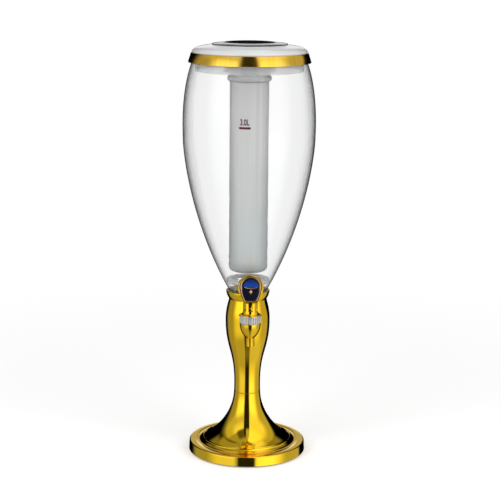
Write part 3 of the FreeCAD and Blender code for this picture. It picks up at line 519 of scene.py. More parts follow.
def quarter(start, end, levelFirst, steps=6):  # quarter round between two points
    points = []
    for index in range(steps + 1):
        angle = math.pi / 2 * index / steps
        quick, slow = math.sin(angle), 1 - math.cos(angle)
        across, along = (quick, slow) if levelFirst else (slow, quick)
        points.append(shifted(start, ((end[0] - start[0]) * across, (end[1] - start[1]) * along)))
    return points


# a wall's curve from its foot over the belly to its top; a lean is an angle from level and how
# far the curve keeps to it
def bellied(size):
    foot, belly, top = size["foot"], size["belly"], size["top"]
    below, above = size["bellyPull"]
    lowSteps, highSteps = size["curveSteps"]
    low = bezier(foot, lean(foot, *size["footLean"]), shifted(belly, (0, -below)), belly, lowSteps)
    high = bezier(belly, shifted(belly, (0, above)), lean(top, *size["topLean"]), top, highSteps)
    return low + high[1:]


# merges in metres, angles in degrees
shaping = {"sharp": 38.0, "bevel": 30.0, "flat": 0.5, "spinMerge": 0.000001,
           "merge": 0.0000005, "solidMerge": 0.000002}


def startTree(name, kinds):
    tree = bpy.data.node_groups.new(name, "GeometryNodeTree")
    inputs = {}
    for label, kind in kinds.items():
        made = tree.interface.new_socket(label, in_out="INPUT", socket_type="NodeSocket" + kind)
        inputs[label] = made.identifier
    tree.interface.new_socket("Shape", in_out="OUTPUT", socket_type="NodeSocketGeometry")
    graph = Graph(tree)
    given = graph.node("NodeGroupInput")
    return (tree, inputs), graph, lambda label: Signal(graph, given.outputs[label])


def finishTree(graph, shape, finish):
    whole = graph.out("GeometryNodeRealizeInstances", None, {0: shape})
    done = graph.out("GeometryNodeSetMaterial", None, {"Geometry": whole, "Material": finish})
    graph.node("NodeGroupOutput", None, {0: done})


def turningTree():  # spins a profile of points about the upright axis, with ribs where asked
    made, graph, take = startTree("turnedProfile", {
        "Profile": "Geometry", "Steps": "Int", "Axis Y": "Float", "Rib Count": "Int",
        "Rib Depth": "Float", "Rib Radius": "Float", "Rib Top": "Float", "Finish": "Material"})
    count = graph.out("GeometryNodeAttributeDomainSize", None, {0: take("Profile")})
    grid = graph.out("GeometryNodeMeshGrid", None, {
        "Size X": 1.0, "Size Y": 1.0, "Vertices X": take("Steps") + 1, "Vertices Y": count})
    position = graph.out("GeometryNodeInputPosition")
    across, along, _ = graph.split(position)
    row = ((along + 0.5) * (count - 1)).maths("ROUND")
    radius, _, height = graph.split(graph.out(
        "GeometryNodeSampleIndex", {"data_type": "FLOAT_VECTOR", "domain": "POINT"},
        {0: take("Profile"), "Value": position, "Index": row}))
    angle = (across + 0.5) * (2 * math.pi)
    rib = ((1.0 - (angle * take("Rib Count")).maths("COSINE")) * 0.5) ** 4.0
    ribbed = (radius > take("Rib Radius")) * (height < take("Rib Top"))
    reach = radius - rib * ribbed * take("Rib Depth")
    x, y = reach * angle.maths("COSINE"), reach * angle.maths("SINE") + take("Axis Y")
    moved = graph.out("GeometryNodeSetPosition", None, {
        "Geometry": grid, "Position": graph.join(x, y, height)})
    merged = graph.out("GeometryNodeMergeByDistance", None, {
        "Geometry": moved, "Distance": shaping["spinMerge"]})
    finishTree(graph, merged, take("Finish"))
    return made


def circleTree():  # sets copies of one item round the upright axis
    made, graph, take = startTree("setRound", {
        "Item": "Geometry", "Count": "Int", "Circle Radius": "Float", "First Angle": "Float",
        "Finish": "Material"})
    circle = graph.out("GeometryNodeMeshCircle", None, {
        "Vertices": take("Count"), "Radius": take("Circle Radius")})
    twisted = graph.out("GeometryNodeTransform", None, {
        "Geometry": circle, "Rotation": graph.join(0.0, 0.0, take("First Angle"))})
    placed = graph.out("GeometryNodeInstanceOnPoints", None, {
        "Points": twisted, "Instance": take("Item")})
    finishTree(graph, placed, take("Finish"))
    return made


turning, rounding = turningTree(), circleTree()


def place(name, data):
    made = bpy.data.objects.new(name, data)
    bpy.context.scene.collection.objects.link(made)
    return made


def addTree(carrier, treeAndInputs, values):
    tree, inputs = treeAndInputs
    grown = carrier.modifiers.new("tree", "NODES")
    grown.node_group = tree
    for label, value in values.items():
        grown[inputs[label]] = value


def addBevel(carrier, width, segments=2):
    soften = carrier.modifiers.new("edges", "BEVEL")
    soften.width = width * mm
    soften.segments = segments
    soften.limit_method = "ANGLE"
    soften.angle_limit = math.radians(shaping["bevel"])
    soften.use_clamp_overlap = True


def applied(carrier, name):  # the evaluated shape as a plain mesh object
    bpy.context.view_layer.update()
    evaluated = carrier.evaluated_get(bpy.context.evaluated_depsgraph_get())
    mesh = bpy.data.meshes.new_from_object(evaluated)
    mesh.name = name
    old = carrier.data
    carrier.modifiers.clear()
    bpy.data.objects.remove(carrier)
    if isinstance(old, bpy.types.Mesh):
        bpy.data.meshes.remove(old)
    return place(name, mesh)


def tidy(piece, sharp=shaping["sharp"], outwards=True):
    made = bmesh.new()
    made.from_mesh(piece.data)
    bmesh.ops.remove_doubles(made, verts=made.verts, dist=shaping["merge"])
    if outwards:
        bmesh.ops.recalc_face_normals(made, faces=made.faces)
    made.to_mesh(piece.data)
    made.free()
    piece.data.shade_smooth()
    piece.data.set_sharp_from_angle(angle=math.radians(sharp))
    return piece


def meshPiece(name, made, finish):
    mesh = bpy.data.meshes.new(name)
    made.to_mesh(mesh)
    made.free()
    mesh.materials.append(finish)
    return place(name, mesh)


def settle(piece, body, slotName, *nodes):
    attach(piece, body)
    if nodes:
        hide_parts(*nodes)


turnedBase = {"axisY": 0.0, "ribs": 0, "ribDepth": 0.0, "ribRadius": 1000.0, "ribTop": 0.0,
              "edge": 0.0, "edgeSteps": 2}


def turned(name, own, profile=None):  # spins the piece's outline, or the profile made from it
    size = {**turnedBase, **own}
    spots = [(radius * mm, 0, height * mm)
             for radius, height in (profile(size) if profile else size["outline"])]
    mesh = bpy.data.meshes.new(name + "Profile")
    mesh.from_pydata(spots, [(i, i + 1) for i in range(len(spots) - 1)], [])
    carrier = place(name + "Profile", mesh)
    addTree(carrier, turning, {
        "Steps": size["steps"], "Axis Y": size["axisY"] * mm, "Rib Count": size["ribs"],
        "Rib Depth": size["ribDepth"] * mm, "Rib Radius": size["ribRadius"] * mm,
        "Rib Top": size["ribTop"] * mm, "Finish": size["finish"]})
    if size["edge"]:
        addBevel(carrier, size["edge"], size["edgeSteps"])
    return tidy(applied(carrier, name))


def setRound(item, name, size):  # the item's copies on a circle, as one mesh
    addTree(item, rounding, {
        "Count": size["count"], "Circle Radius": size["circle"] * mm,
        "First Angle": math.radians(size["firstAngle"]), "Finish": size["finish"]})
    return tidy(applied(item, name))


def softened(name, nodeName, width, finish=None, reshape=None):  # a CAD node, its edges eased
    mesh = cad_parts[nodeName].data.copy()
    made = bmesh.new()
    made.from_mesh(mesh)
    if reshape:          # gives each point its height
        for vertex in made.verts:
            vertex.co.z = reshape(vertex.co.z / mm) * mm
    bmesh.ops.remove_doubles(made, verts=made.verts, dist=shaping["solidMerge"])
    bmesh.ops.dissolve_limit(made, angle_limit=math.radians(shaping["flat"]),
                             verts=made.verts, edges=made.edges)
    made.to_mesh(mesh)
    made.free()
    carrier = place(name + "Copy", mesh)
    addBevel(carrier, width)
    piece = tidy(applied(carrier, name), outwards=False)
    if finish:
        piece.data.materials.clear()
        piece.data.materials.append(finish)
    return piece


# rubber pads and the screws of the bottom cover
pads = {"outline": [(0.0, 0.0), (1.6, 0.0), (1.9, 0.35), (2.4, 0.35), (2.7, 0.0), (4.9, 0.0),
                    (5.2, 0.35), (5.7, 0.35), (6.0, 0.0), (7.5, 0.0), (7.86, 0.14), (8.0, 0.5),
                    (8.0, 2.0), (0.0, 2.0)],
        "count": 6, "circle": 64.0, "firstAngle": 0.0, "steps": 48,
        "finish": materials["rubber"]}
settle(setRound(turned("padItem", pads), "rubberPads", pads), "tower", "rubber", "rubber_pads")

screws = {"outline": [(0.0, 2.0), (3.3, 2.0), (3.75, 2.15), (4.0, 2.5), (4.0, 3.8), (2.0, 3.8),
                      (2.0, 10.4), (1.6, 10.8), (0.0, 10.8)],
          "count": 4, "circle": 45.0, "firstAngle": 45.0, "steps": 32, "faceBelow": 2.05,
          "slotHalf": 0.5, "slotReach": 3.1, "slotDepth": 0.9, "finish": materials["zinc_steel"]}


def slotHead(piece, size):  # presses the driver slot into the underside of the head
    made = bmesh.new()
    made.from_mesh(piece.data)
    half, reach = size["slotHalf"] * mm, size["slotReach"] * mm
    for direction, offset in (((0, 1, 0), half), ((0, 1, 0), -half),
                              ((1, 0, 0), reach), ((1, 0, 0), -reach)):
        everything = made.verts[:] + made.edges[:] + made.faces[:]
        bmesh.ops.bisect_plane(made, geom=everything, plane_co=Vector(direction) * offset,
                               plane_no=direction)
    bed = []
    for face in made.faces:
        x, y, z = face.calc_center_median()
        if z < size["faceBelow"] * mm and abs(x) < reach and abs(y) < half:
            bed.append(face)
    pushed = bmesh.ops.extrude_face_region(made, geom=bed)
    moved = [item for item in pushed["geom"] if isinstance(item, bmesh.types.BMVert)]
    bmesh.ops.translate(made, verts=moved, vec=(0, 0, size["slotDepth"] * mm))
    made.to_mesh(piece.data)
    made.free()
    return piece


screwItem = slotHead(turned("screwItem", screws), screws)
settle(setRound(screwItem, "coverScrews", screws), "tower", "zinc_steel", "cover_screws")
print("pads and screws set round the base")

# base plinth
plinth = {"low": 1.5, "foot": (82.28, 2.1), "shoulder": (81.7, 13.4), "crown": (79.8, 15.3),
          "ledge": (70.8, 16.25), "step": (70.55, 16.1), "well": 13.9, "hub": 58.0,
          "under": (79.2, 11.4), "steps": 224, "finish": materials["plated_gold"]}


def plinthProfile(size):
    low, shoulder, crown, step = (size[key] for key in ("low", "shoulder", "crown", "step"))
    well, hub, under = size["well"], size["hub"], size["under"]
    outline = [(crown[0], low), (shoulder[0], low), size["foot"]]
    outline += quarter(shoulder, crown, False) + [size["ledge"], step, (step[0], well)]
    return outline + [(hub, well), (hub, under[1]), under, (crown[0], low)]


settle(turned("basePlinth", plinth, plinthProfile), "tower", "plated_gold", "base_plinth")

# trumpet foot
foot = {"start": (61.6, 20.2), "startLean": (162.8, 15.3), "end": (18.54, 86.2),
        "endLean": (-87.7, 35.0), "curveSteps": 70,
        "lip": ((70.4, 16.3), (65.44, 17.23), (62.4, 19.4)), "lipSteps": 8,
        "seat": 13.9, "hub": 58.3, "wall": 2.5, "steps": 224, "finish": materials["plated_gold"]}


def footProfile(size):
    start, end, lip, seat = (size[key] for key in ("start", "end", "lip", "seat"))
    curve = bezier(start, lean(start, *size["startLean"]), lean(end, *size["endLean"]), end,
                   size["curveSteps"])
    outline = [(size["hub"], seat), (lip[0][0], seat)] + arc(*lip)
    outline += quarter(lip[2], start, False, size["lipSteps"])[1:] + curve[1:]
    return outline + inward(curve, size["wall"])[::-1] + [(size["hub"], seat)]


settle(turned("footTrumpet", foot, footProfile), "tower", "plated_gold", "foot_trumpet")

# column
column = {"foot": (18.54, 86.2), "footLean": (92.3, 60.0), "belly": (31.0, 191.5),
          "bellyPull": (46.2, 15.0), "top": (26.2, 221.6), "topLean": (-80.0, 5.0),
          "curveSteps": (60, 30), "footEdge": ((18.34, 86.2), (18.44, 86.25), (18.55, 86.45)),
          "spigot": (13.24, 15.44), "spigotTip": 78.2, "bore": 4.3, "floor": 90.2, "wall": 2.5,
          "steps": 192, "finish": materials["plated_gold"]}


def columnProfile(size):
    curve, low, bore, tip = bellied(size), size["foot"][1], size["bore"], size["spigotTip"]
    near, far = size["spigot"]
    outline = [(bore, low), (near, low), (near, tip), (far, tip), (far, low), *size["footEdge"]]
    outline += curve[1:] + inward(curve[2:], size["wall"])[::-1]
    return outline + [(bore, size["floor"]), (bore, low)]


settle(turned("columnShell", column, columnProfile), "tower", "plated_gold", "column_shell")

# collar
collar = {"low": (22.9, 221.6), "outer": ((26.2, 221.6), (29.1, 227.0), (30.5, 233.0)),
          "lip": (29.7, 233.8), "inner": ((28.9, 233.0), (27.5, 227.0), (25.8, 223.1)),
          "arcSteps": (20, 8, 16), "steps": 192, "finish": collarGold}


def collarProfile(size):
    outer, inner, low = size["outer"], size["inner"], size["low"]
    outerSteps, lipSteps, innerSteps = size["arcSteps"]
    outline = [low] + arc(*outer, outerSteps) + arc(outer[2], size["lip"], inner[0], lipSteps)[1:]
    return outline + arc(*inner, innerSteps)[1:] + [(low[0], inner[2][1]), low]


settle(turned("collarRing", collar, collarProfile), "tower", "plated_gold", "collar")
print("gold base and column turned")

# vessel; the rim is rounded over three points, moved from its outer edge, middle and inner edge
vessel = {"foot": (22.5, 226.6), "footLean": (60.2, 119.0), "belly": (91.0, 448.5),
          "bellyPull": (18.5, 9.5), "top": (76.85, 556.0), "topLean": (-67.6, 45.8),
          "curveSteps": (72, 48), "rim": ((0.1, -0.5), (-0.1, 0.5), (0.05, -0.6)), "rimSteps": 6,
          "outlet": (17.6, 20.1), "outletLow": 208.6, "innerFloor": 23.6, "wall": 2.5,
          "steps": 224, "finish": materials["clear_plastic"]}


def vesselProfile(size):
    outer, seat, low = bellied(size), size["foot"][1], size["outletLow"]
    near, far = size["outlet"]
    inner = [spot for spot in inward(outer, size["wall"])
             if spot[0] > size["innerFloor"] or spot[1] > size["belly"][1]]
    edges = (outer[-1], [(a + b) / 2 for a, b in zip(outer[-1], inner[-1])], inner[-1])
    rim = arc(*(shifted(edge, move) for edge, move in zip(edges, size["rim"])), size["rimSteps"])
    outline = [(near, low), (far, low), (far, seat)] + outer[:-1] + rim
    return outline + inner[-2::-1] + [(near, seat), (near, low)]


settle(turned("clearVessel", vessel, vesselProfile), "tower", "clear_plastic", "vessel")

# flow ring at the bottom of the vessel, as the thin band that shows through it
flowRing = {"edge": 0.5, "low": 245.4, "high": 251.0}
ringLow, ringHigh = (corner[2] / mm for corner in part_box("flow_ring"))


def pressedFlat(height):
    share = (height - ringLow) / (ringHigh - ringLow)
    return flowRing["low"] + (flowRing["high"] - flowRing["low"]) * share


settle(softened("flowRing", "flow_ring", flowRing["edge"], flowPlastic, pressedFlat),
       "tower", "frosted_plastic", "flow_ring")

# ice tube
iceTube = {"radius": 26.8, "low": 262.22, "corner": 6.5, "wall": 2.0, "underBead": 524.6,
           "bead": ((26.8, 524.8), (30.3, 529.3), (26.8, 533.8)), "arcSteps": (10, 16, 8),
           "flange": ((26.8, 571.9), (40.5, 571.9), (40.5, 573.9)), "steps": 128,
           "finish": materials["frosted_plastic"]}


def iceTubeProfile(size):
    radius, low, inside = size["radius"], size["low"], size["radius"] - size["wall"]
    flat, bend, floor = radius - size["corner"], low + size["corner"], low + size["wall"]
    outerSteps, beadSteps, innerSteps = size["arcSteps"]
    outer = [(0.0, low)] + quarter((flat, low), (radius, bend), True, outerSteps)
    outer += [(radius, size["underBead"])] + arc(*size["bead"], beadSteps)[1:] + [*size["flange"]]
    inner = quarter((inside, bend), (flat, floor), False, innerSteps)
    return outer + [(inside, size["flange"][2][1])] + inner + [(0.0, floor)]


settle(turned("iceTube", iceTube, iceTubeProfile), "ice_tube", "frosted_plastic", "ice_tube")
print("vessel and ice tube turned")

# trim ring
trim = {"outline": [(82.3, 550.9), (83.9, 550.9), (79.8, 564.1), (78.2, 564.1), (82.3, 550.9)],
        "steps": 224, "edge": 0.35, "edgeSteps": 3, "finish": ringGold}
settle(turned("trimRing", trim), "lid", "plated_gold", "trim_ring")

# cap: a sloping dark ring with a thin edge line of painted shade, round a slightly domed disc
bezel = {"outline": [(50.1, 574.1), (51.5, 574.1), (51.5, 575.8), (43.5, 577.0), (35.32, 577.9),
                     (34.32, 577.6), (34.32, 575.52), (50.1, 575.52), (50.1, 574.1)],
         "steps": 192, "edge": 0.25, "finish": materials["dark_chrome"]}
settle(turned("capBezel", bezel), "ice_cap", "dark_chrome", "cap_bezel")
# painted shade: a thin black ring stands for the shadow in the gap between the bezel and the lid
shadowLine = {"outline": [(50.7, 575.2), (51.7, 575.2), (51.7, 575.8), (50.7, 576.05),
                        (50.7, 575.2)],
            "steps": 192, "finish": materials["black_plastic"]}
settle(turned("capShadowLine", shadowLine), "ice_cap", "black_plastic")
disc = {"radius": 34.0, "low": 577.2, "edgeHeight": 577.6, "crown": 2.0, "rings": 12,
        "steps": 160, "edge": 0.3, "finish": materials["black_gloss"]}


def discProfile(size):
    radius, edge, rings = size["radius"], size["edgeHeight"], size["rings"]
    shares = [1 - index / rings for index in range(rings + 1)]
    dome = [(radius * share, edge + size["crown"] * (1 - share * share)) for share in shares]
    return [(0.0, size["low"]), (radius, size["low"])] + dome


settle(turned("capDisc", disc, discProfile), "ice_cap", "black_gloss", "cap_disc")

# lid: its two inner walls end a little higher than the solid's
lidSize = {"edge": 0.3, "wallsBelow": 536.0, "lift": 4.0}


def shorterWalls(height):
    return height + lidSize["lift"] if height < lidSize["wallsBelow"] else height


settle(softened("lidDome", "lid", lidSize["edge"], None, shorterWalls),
       "lid", "lid_plastic", "lid")
print("lid and cap made")

# tap: the bowl with its spout, the shank, the bonnet nut and the lever's post
tapAxis = -58.0
bowl = {"axisY": tapAxis, "tip": ((4.3, 168.1), (4.6, 167.8), (5.3, 167.8)), "lip": (5.9, 168.4),
        "neck": ((5.9, 179.7), (6.05, 180.1), (6.4, 180.5)), "neckSteps": 4,
        "side": ((5.9, 180.1), (10.5, 184.0), (14.5, 191.0), (14.5, 201.0)), "sideFrom": 4,
        "rim": ((14.5, 200.6), (14.2, 201.0), (12.4, 201.0)),
        "inside": ((12.4, 207.5), (10.6, 207.5), (10.6, 192.4), (4.3, 183.0)), "steps": 128,
        "finish": materials["plated_gold"]}


def bowlProfile(size):
    tip = size["tip"]
    outline = [*tip] + quarter(tip[2], size["lip"], True)[1:]
    outline += arc(*size["neck"], size["neckSteps"])
    outline += bezier(*size["side"])[size["sideFrom"]:-1]       # its start lies in the neck
    return outline + [*size["rim"], *size["inside"], tip[0]]


settle(turned("tapBowl", bowl, bowlProfile), "tower", "plated_gold", "tap_body")

shank = {"height": 193.5, "outline": [(4.0, -46.0), (6.5, -46.0), (6.5, -36.4), (6.9, -36.3),
                                      (9.1, -36.3), (9.5, -35.9), (9.5, -34.2), (9.1, -33.8),
                                      (6.5, -33.8), (6.5, -4.5), (4.0, -4.5), (4.0, -46.0)],
         "steps": 96, "finish": materials["plated_gold"]}


def alongY(piece, height):  # turns a piece spun about the upright axis to lie along the shank
    for vertex in piece.data.vertices:
        x, y, z = vertex.co
        vertex.co = (x, z, height * mm - y)
    return piece


shankPiece = alongY(turned("tapShank", shank), shank["height"])
settle(tidy(shankPiece), "tower", "plated_gold", "tap_body")

nut = {"axisY": tapAxis, "foot": ((12.7, 201.2), (14.4, 201.2)), "side": (14.7, 201.5, 210.2),
       "rows": 8, "ribs": 26, "ribDepth": 1.3, "ribRadius": 14.3, "ribTop": 210.3,
       "flange": ((14.7, 210.5), (15.4, 210.5), (15.7, 210.8), (15.7, 211.9), (15.4, 212.2)),
       "hole": ((10.1, 212.2), (10.1, 209.5), (12.7, 209.5), (12.7, 201.2)), "steps": 336,
       "finish": materials["clear_nut"]}


def nutProfile(size):
    radius, low, high = size["side"]
    rows = size["rows"]
    side = [(radius, low + (high - low) * index / rows) for index in range(rows + 1)]
    return [*size["foot"], *side, *size["flange"], *size["hole"]]


settle(turned("bonnetNut", nut, nutProfile), "tower", "clear_nut", "bonnet_nut")

skirt = {"axisY": tapAxis, "foot": ((9.75, 212.25), (14.4, 212.25), (14.6, 212.45)),
         "flare": ((14.5, 212.9), (12.0, 213.2), (10.3, 214.6), (9.95, 218.0)),
         "flareSteps": 14, "top": (9.75, 218.0), "steps": 112,
         "finish": materials["plated_gold"]}


def skirtProfile(size):
    flare = bezier(*size["flare"], size["flareSteps"])
    return [*size["foot"], *flare, size["top"], size["foot"][0]]


settle(turned("postSkirt", skirt, skirtProfile), "tower", "plated_gold")

leverEdges = {"post": 0.25, "paddle": 0.3}
settle(softened("leverPost", "lever_post", leverEdges["post"]), "tower", "plated_gold",
       "lever_post")
settle(softened("leverPaddle", "lever", leverEdges["paddle"]), "tap_lever", "plated_gold",
       "lever")
print("tap made")

# paddle's face: eggs are radius, half width of the foot, bottom, top, corner and bulge; a band
# is its share of the way from the outer egg to the badge's, and its crown
paddle = {"outer": (17.3, 9.85, 230.8, 268.5, 1.6, 0.0),
          "badge": (12.2, 8.0, 233.1, 265.8, 3.2, 1.1), "eggSteps": (6, 8, 12, 40),
          "front": -66.0, "sunk": 0.3, "middle": 249.0, "beadSteps": 8,
          "rim": (0.05, 0.36, 0.5), "groove": (0.36, 0.58, 0.03), "bezel": (0.58, 0.99, 0.4)}


def eggOutline(radius, footHalf, bottom, top, corner, bulge):  # from the foot's middle
    footSteps, cornerSteps, sideSteps, topSteps = paddle["eggSteps"]
    centre = top - radius
    reach = math.hypot(footHalf, centre - bottom)
    tilt = math.asin(radius / reach) - math.atan2(footHalf, centre - bottom)
    side = Vector((radius * math.cos(tilt), centre - radius * math.sin(tilt)))
    bend = Vector((footHalf, bottom))
    flat = footHalf - corner
    start, end = Vector((flat, bottom)), bend + (side - bend).normalized() * corner
    across = [footHalf * i / footSteps for i in range(footSteps)]
    right = [(x, bottom) for x in across if x <= flat] + [(flat, bottom)]
    for i in range(1, cornerSteps + 1):
        t = i / cornerSteps
        spot = start * (1 - t) ** 2 + bend * 2 * t * (1 - t) + end * t * t
        right.append((spot.x, spot.y))
    for i in range(1, sideSteps + 1):
        t = i / sideSteps
        spot = end.lerp(side, t)
        right.append((spot.x + bulge * math.sin(math.pi * t), spot.y))
    for i in range(1, topSteps + 1):
        angle = -tilt + (math.pi / 2 + tilt) * i / topSteps
        right.append((radius * math.cos(angle), centre + radius * math.sin(angle)))
    return right + [(-x, z) for x, z in reversed(right[1:-1])]


outerEgg, badgeEgg = eggOutline(*paddle["outer"]), eggOutline(*paddle["badge"])


def eggLoop(share, y, shrink=0.0):  # share 0 is the paddle's edge, 1 the badge's edge
    loop, middle, keep = [], paddle["middle"], 1 - shrink
    for (outerX, outerZ), (badgeX, badgeZ) in zip(outerEgg, badgeEgg):
        x, z = outerX + (badgeX - outerX) * share, outerZ + (badgeZ - outerZ) * share
        loop.append((x * keep, y, middle + (z - middle) * keep))
    return loop


def skin(name, loops, finish, ring=False):  # joins loops of points; a ring joins its ends too
    made = bmesh.new()
    rows = [[made.verts.new((x * mm, y * mm, z * mm)) for x, y, z in loop] for loop in loops]
    for low, high in zip(rows, rows[1:] + (rows[:1] if ring else [])):
        for i in range(len(low)):
            after = (i + 1) % len(low)
            made.faces.new((low[i], low[after], high[after], high[i]))
    if not ring:
        made.faces.new(rows[0])
        made.faces.new(rows[-1])
    return meshPiece(name, made, finish)


def band(name, shape, finish, slotName):  # a rounded band lying on the paddle's face
    low, high, crown = shape
    front, steps = paddle["front"], paddle["beadSteps"]
    loops = [eggLoop(low, front + paddle["sunk"])]
    for i in range(steps + 1):
        t = i / steps
        loops.append(eggLoop(low + (high - low) * t, front - crown * math.sin(math.pi * t)))
    loops.append(eggLoop(high, front + paddle["sunk"]))
    settle(tidy(skin(name, loops, finish, True)), "tap_lever", slotName)


band("paddleRim", paddle["rim"], materials["plated_gold"], "plated_gold")
band("paddleGroove", paddle["groove"], materials["black_gloss"], "black_gloss")
band("paddleBezel", paddle["bezel"], bronze, "plated_gold")

badge = {"back": -65.0, "edge": -66.12, "crown": 0.35, "steps": 12, "shrink": 0.94}
badgeLoops = [eggLoop(1.0, badge["back"]), eggLoop(1.0, badge["edge"])]
for step in range(1, badge["steps"] + 1):
    turn = math.pi / 2 * step / badge["steps"]
    badgeLoops.append(eggLoop(1.0, badge["edge"] - badge["crown"] * math.sin(turn),
                              badge["shrink"] * (1 - math.cos(turn))))
settle(tidy(skin("leverBadge", badgeLoops, materials["badge"])), "tap_lever", "badge",
       "lever_badge")

# a plain beaded arc under the blue field, with a lozenge in its middle
ornament = {"height": 250.6, "bend": 26.0, "reach": 9.0, "wire": 0.62, "front": -66.75,
            "follow": 0.0006, "points": 25, "roundness": 3, "lozenge": (2.6, 3.4, 0.7),
            "waist": 0.35, "lozengeHeight": 245.8, "sunk": 0.25, "sharp": 20.0}


def ornamentArc(size):
    curve = bpy.data.curves.new("ornamentArc", "CURVE")
    curve.dimensions = "3D"
    curve.bevel_depth = size["wire"] * mm
    curve.bevel_resolution = size["roundness"]
    curve.use_fill_caps = True
    line = curve.splines.new("POLY")
    last = size["points"] - 1
    line.points.add(last)
    for i in range(last + 1):
        x = (i / last * 2 - 1) * size["reach"]
        y, z = size["front"] + size["follow"] * x * x, size["height"] + size["bend"] * x * x * mm
        line.points[i].co = (x * mm, y * mm, z * mm, 1.0)
    piece = applied(place("ornamentArcLine", curve), "ornamentArc")
    piece.data.materials.append(bronze)
    settle(tidy(piece), "tap_lever", None)


def ornamentLozenge(size):
    wide, tall, deep = size["lozenge"]
    waistX, waistZ = wide * size["waist"], tall * size["waist"]
    y, z = size["front"] + size["sunk"], size["lozengeHeight"]
    made = bmesh.new()
    ring = [made.verts.new((x * mm, y * mm, (z + rise) * mm)) for x, rise in (
        (wide, 0), (waistX, waistZ), (0, tall), (-waistX, waistZ), (-wide, 0),
        (-waistX, -waistZ), (0, -tall), (waistX, -waistZ))]
    peak = made.verts.new((0, (y - deep) * mm, z * mm))
    for i in range(len(ring)):
        made.faces.new((ring[i], ring[(i + 1) % len(ring)], peak))
    made.faces.new(ring)
    settle(tidy(meshPiece("ornamentLozenge", made, bronze), size["sharp"]), "tap_lever", None)


ornamentArc(ornament)
ornamentLozenge(ornament)

# level mark on the ice tube
mark = {"text": "3.0L", "height": 8.7, "width": 12.8, "bottom": 467.4, "weight": 0.03,
        "extrude": 0.01, "smoothness": 6, "angle": -16.7, "radius": 26.86, "thickness": 0.12,
        "barWidth": 16.2, "barLow": 462.3, "barHigh": 465.3, "barColumns": 16}


def wrapOnTube(piece):  # x and z of a flat piece go round and up the tube
    radius = mark["radius"] * mm
    for vertex in piece.data.vertices:
        x, y, z = vertex.co
        angle = math.radians(mark["angle"]) + x / radius
        reach = radius + max(-y, 0.0)
        vertex.co = (math.sin(angle) * reach, -math.cos(angle) * reach, z)
    settle(tidy(piece), "ice_tube", None)


def levelText():
    curve = bpy.data.curves.new("levelFigures", "FONT")
    curve.body = mark["text"]
    curve.extrude = mark["extrude"]
    curve.resolution_u = mark["smoothness"]
    curve.offset = mark["weight"]
    piece = applied(place("levelFiguresText", curve), "levelFigures")
    spots = [vertex.co.copy() for vertex in piece.data.vertices]
    left, right = min(s.x for s in spots), max(s.x for s in spots)
    low, high = min(s.y for s in spots), max(s.y for s in spots)
    for vertex, spot in zip(piece.data.vertices, spots):
        x = ((spot.x - left) / (right - left) - 0.5) * mark["width"] * mm
        z = (mark["bottom"] + (spot.y - low) / (high - low) * mark["height"]) * mm
        vertex.co = (x, -mark["thickness"] * mm if spot.z > 0 else 0.0, z)
    piece.data.materials.clear()
    piece.data.materials.append(markPrint)
    wrapOnTube(piece)


def levelBar():
    low, high, front, columns = (mark[key] for key in (
        "barLow", "barHigh", "thickness", "barColumns"))
    loops = []
    for i in range(columns + 1):
        x = (i / columns - 0.5) * mark["barWidth"]
        loops.append([(x, 0.0, low), (x, 0.0, high), (x, -front, high), (x, -front, low)])
    wrapOnTube(skin("levelBar", loops, markPrint))


levelText()
levelBar()
print("badge and level mark made")

camera = {"azimuth": -3.5, "distance": 1.9879, "height": 0.7091, "lookAt": 0.2902,
          "lens": 104.95, "sensor": 36.0, "shift": 0.0036, "roll": 0.47, "clip": (0.05, 60.0)}


def aimed(name, data, spot, aim, front, size):  # turns an object's front axis along the aim
    made = place(name, data)
    made.location = spot
    made.rotation_mode = "QUATERNION"
    roll = Quaternion((0.0, 0.0, 1.0), math.radians(size.get("roll", 0.0)))
    made.rotation_quaternion = aim.to_track_quat(front, "Y") @ roll
    return made


def fromFront(azimuth, elevation=0.0):  # the direction towards a place round the object
    a, e = math.radians(azimuth), math.radians(elevation)
    return Vector((math.sin(a) * math.cos(e), -math.cos(a) * math.cos(e), math.sin(e)))


def placeCamera(size):
    data = bpy.data.cameras.new("camera")
    data.lens = size["lens"]
    data.sensor_width = size["sensor"]
    data.shift_x = size["shift"]
    data.clip_start, data.clip_end = size["clip"]
    spot = fromFront(size["azimuth"]) * size["distance"] + Vector((0.0, 0.0, size["height"]))
    aim = Vector((0.0, 0.0, size["lookAt"])) - spot
    bpy.context.scene.camera = aimed("camera", data, spot, aim, "-Z", size)


# light on everything, then what polished surfaces see; edges in degrees from the camera
studio = {
    "fill": 0.62,                     # plain light on everything
    "inside": 0.48,                   # what reflections inside clear plastic carry
    "insideShare": 0.85,
    "insideDepth": 3.5,               # mirrored inside one wall only
    "insideEdge": (170.0, 156.0),
    "gapLevel": 0.02,                 # the dark room between the soft boxes
    "gapEdge": (60.0, 30.0),
    "rightEnd": (112.0, 124.0),       # where the side boxes end behind the object
    "rightLow": (2.0, -12.0, 0.0, 9.0),      # they reach further round below the level
    "rightHigh": (0.0, 15.0, 0.0, 10.0),     # and above it
    "leftEnd": (115.0, 139.0),
    "leftRise": 0.35,
    "darkSide": (-58.0, -12.0, 8.0, 3.0),
    "darkAbove": (53.0, 58.0, 0.0, 0.72),
}

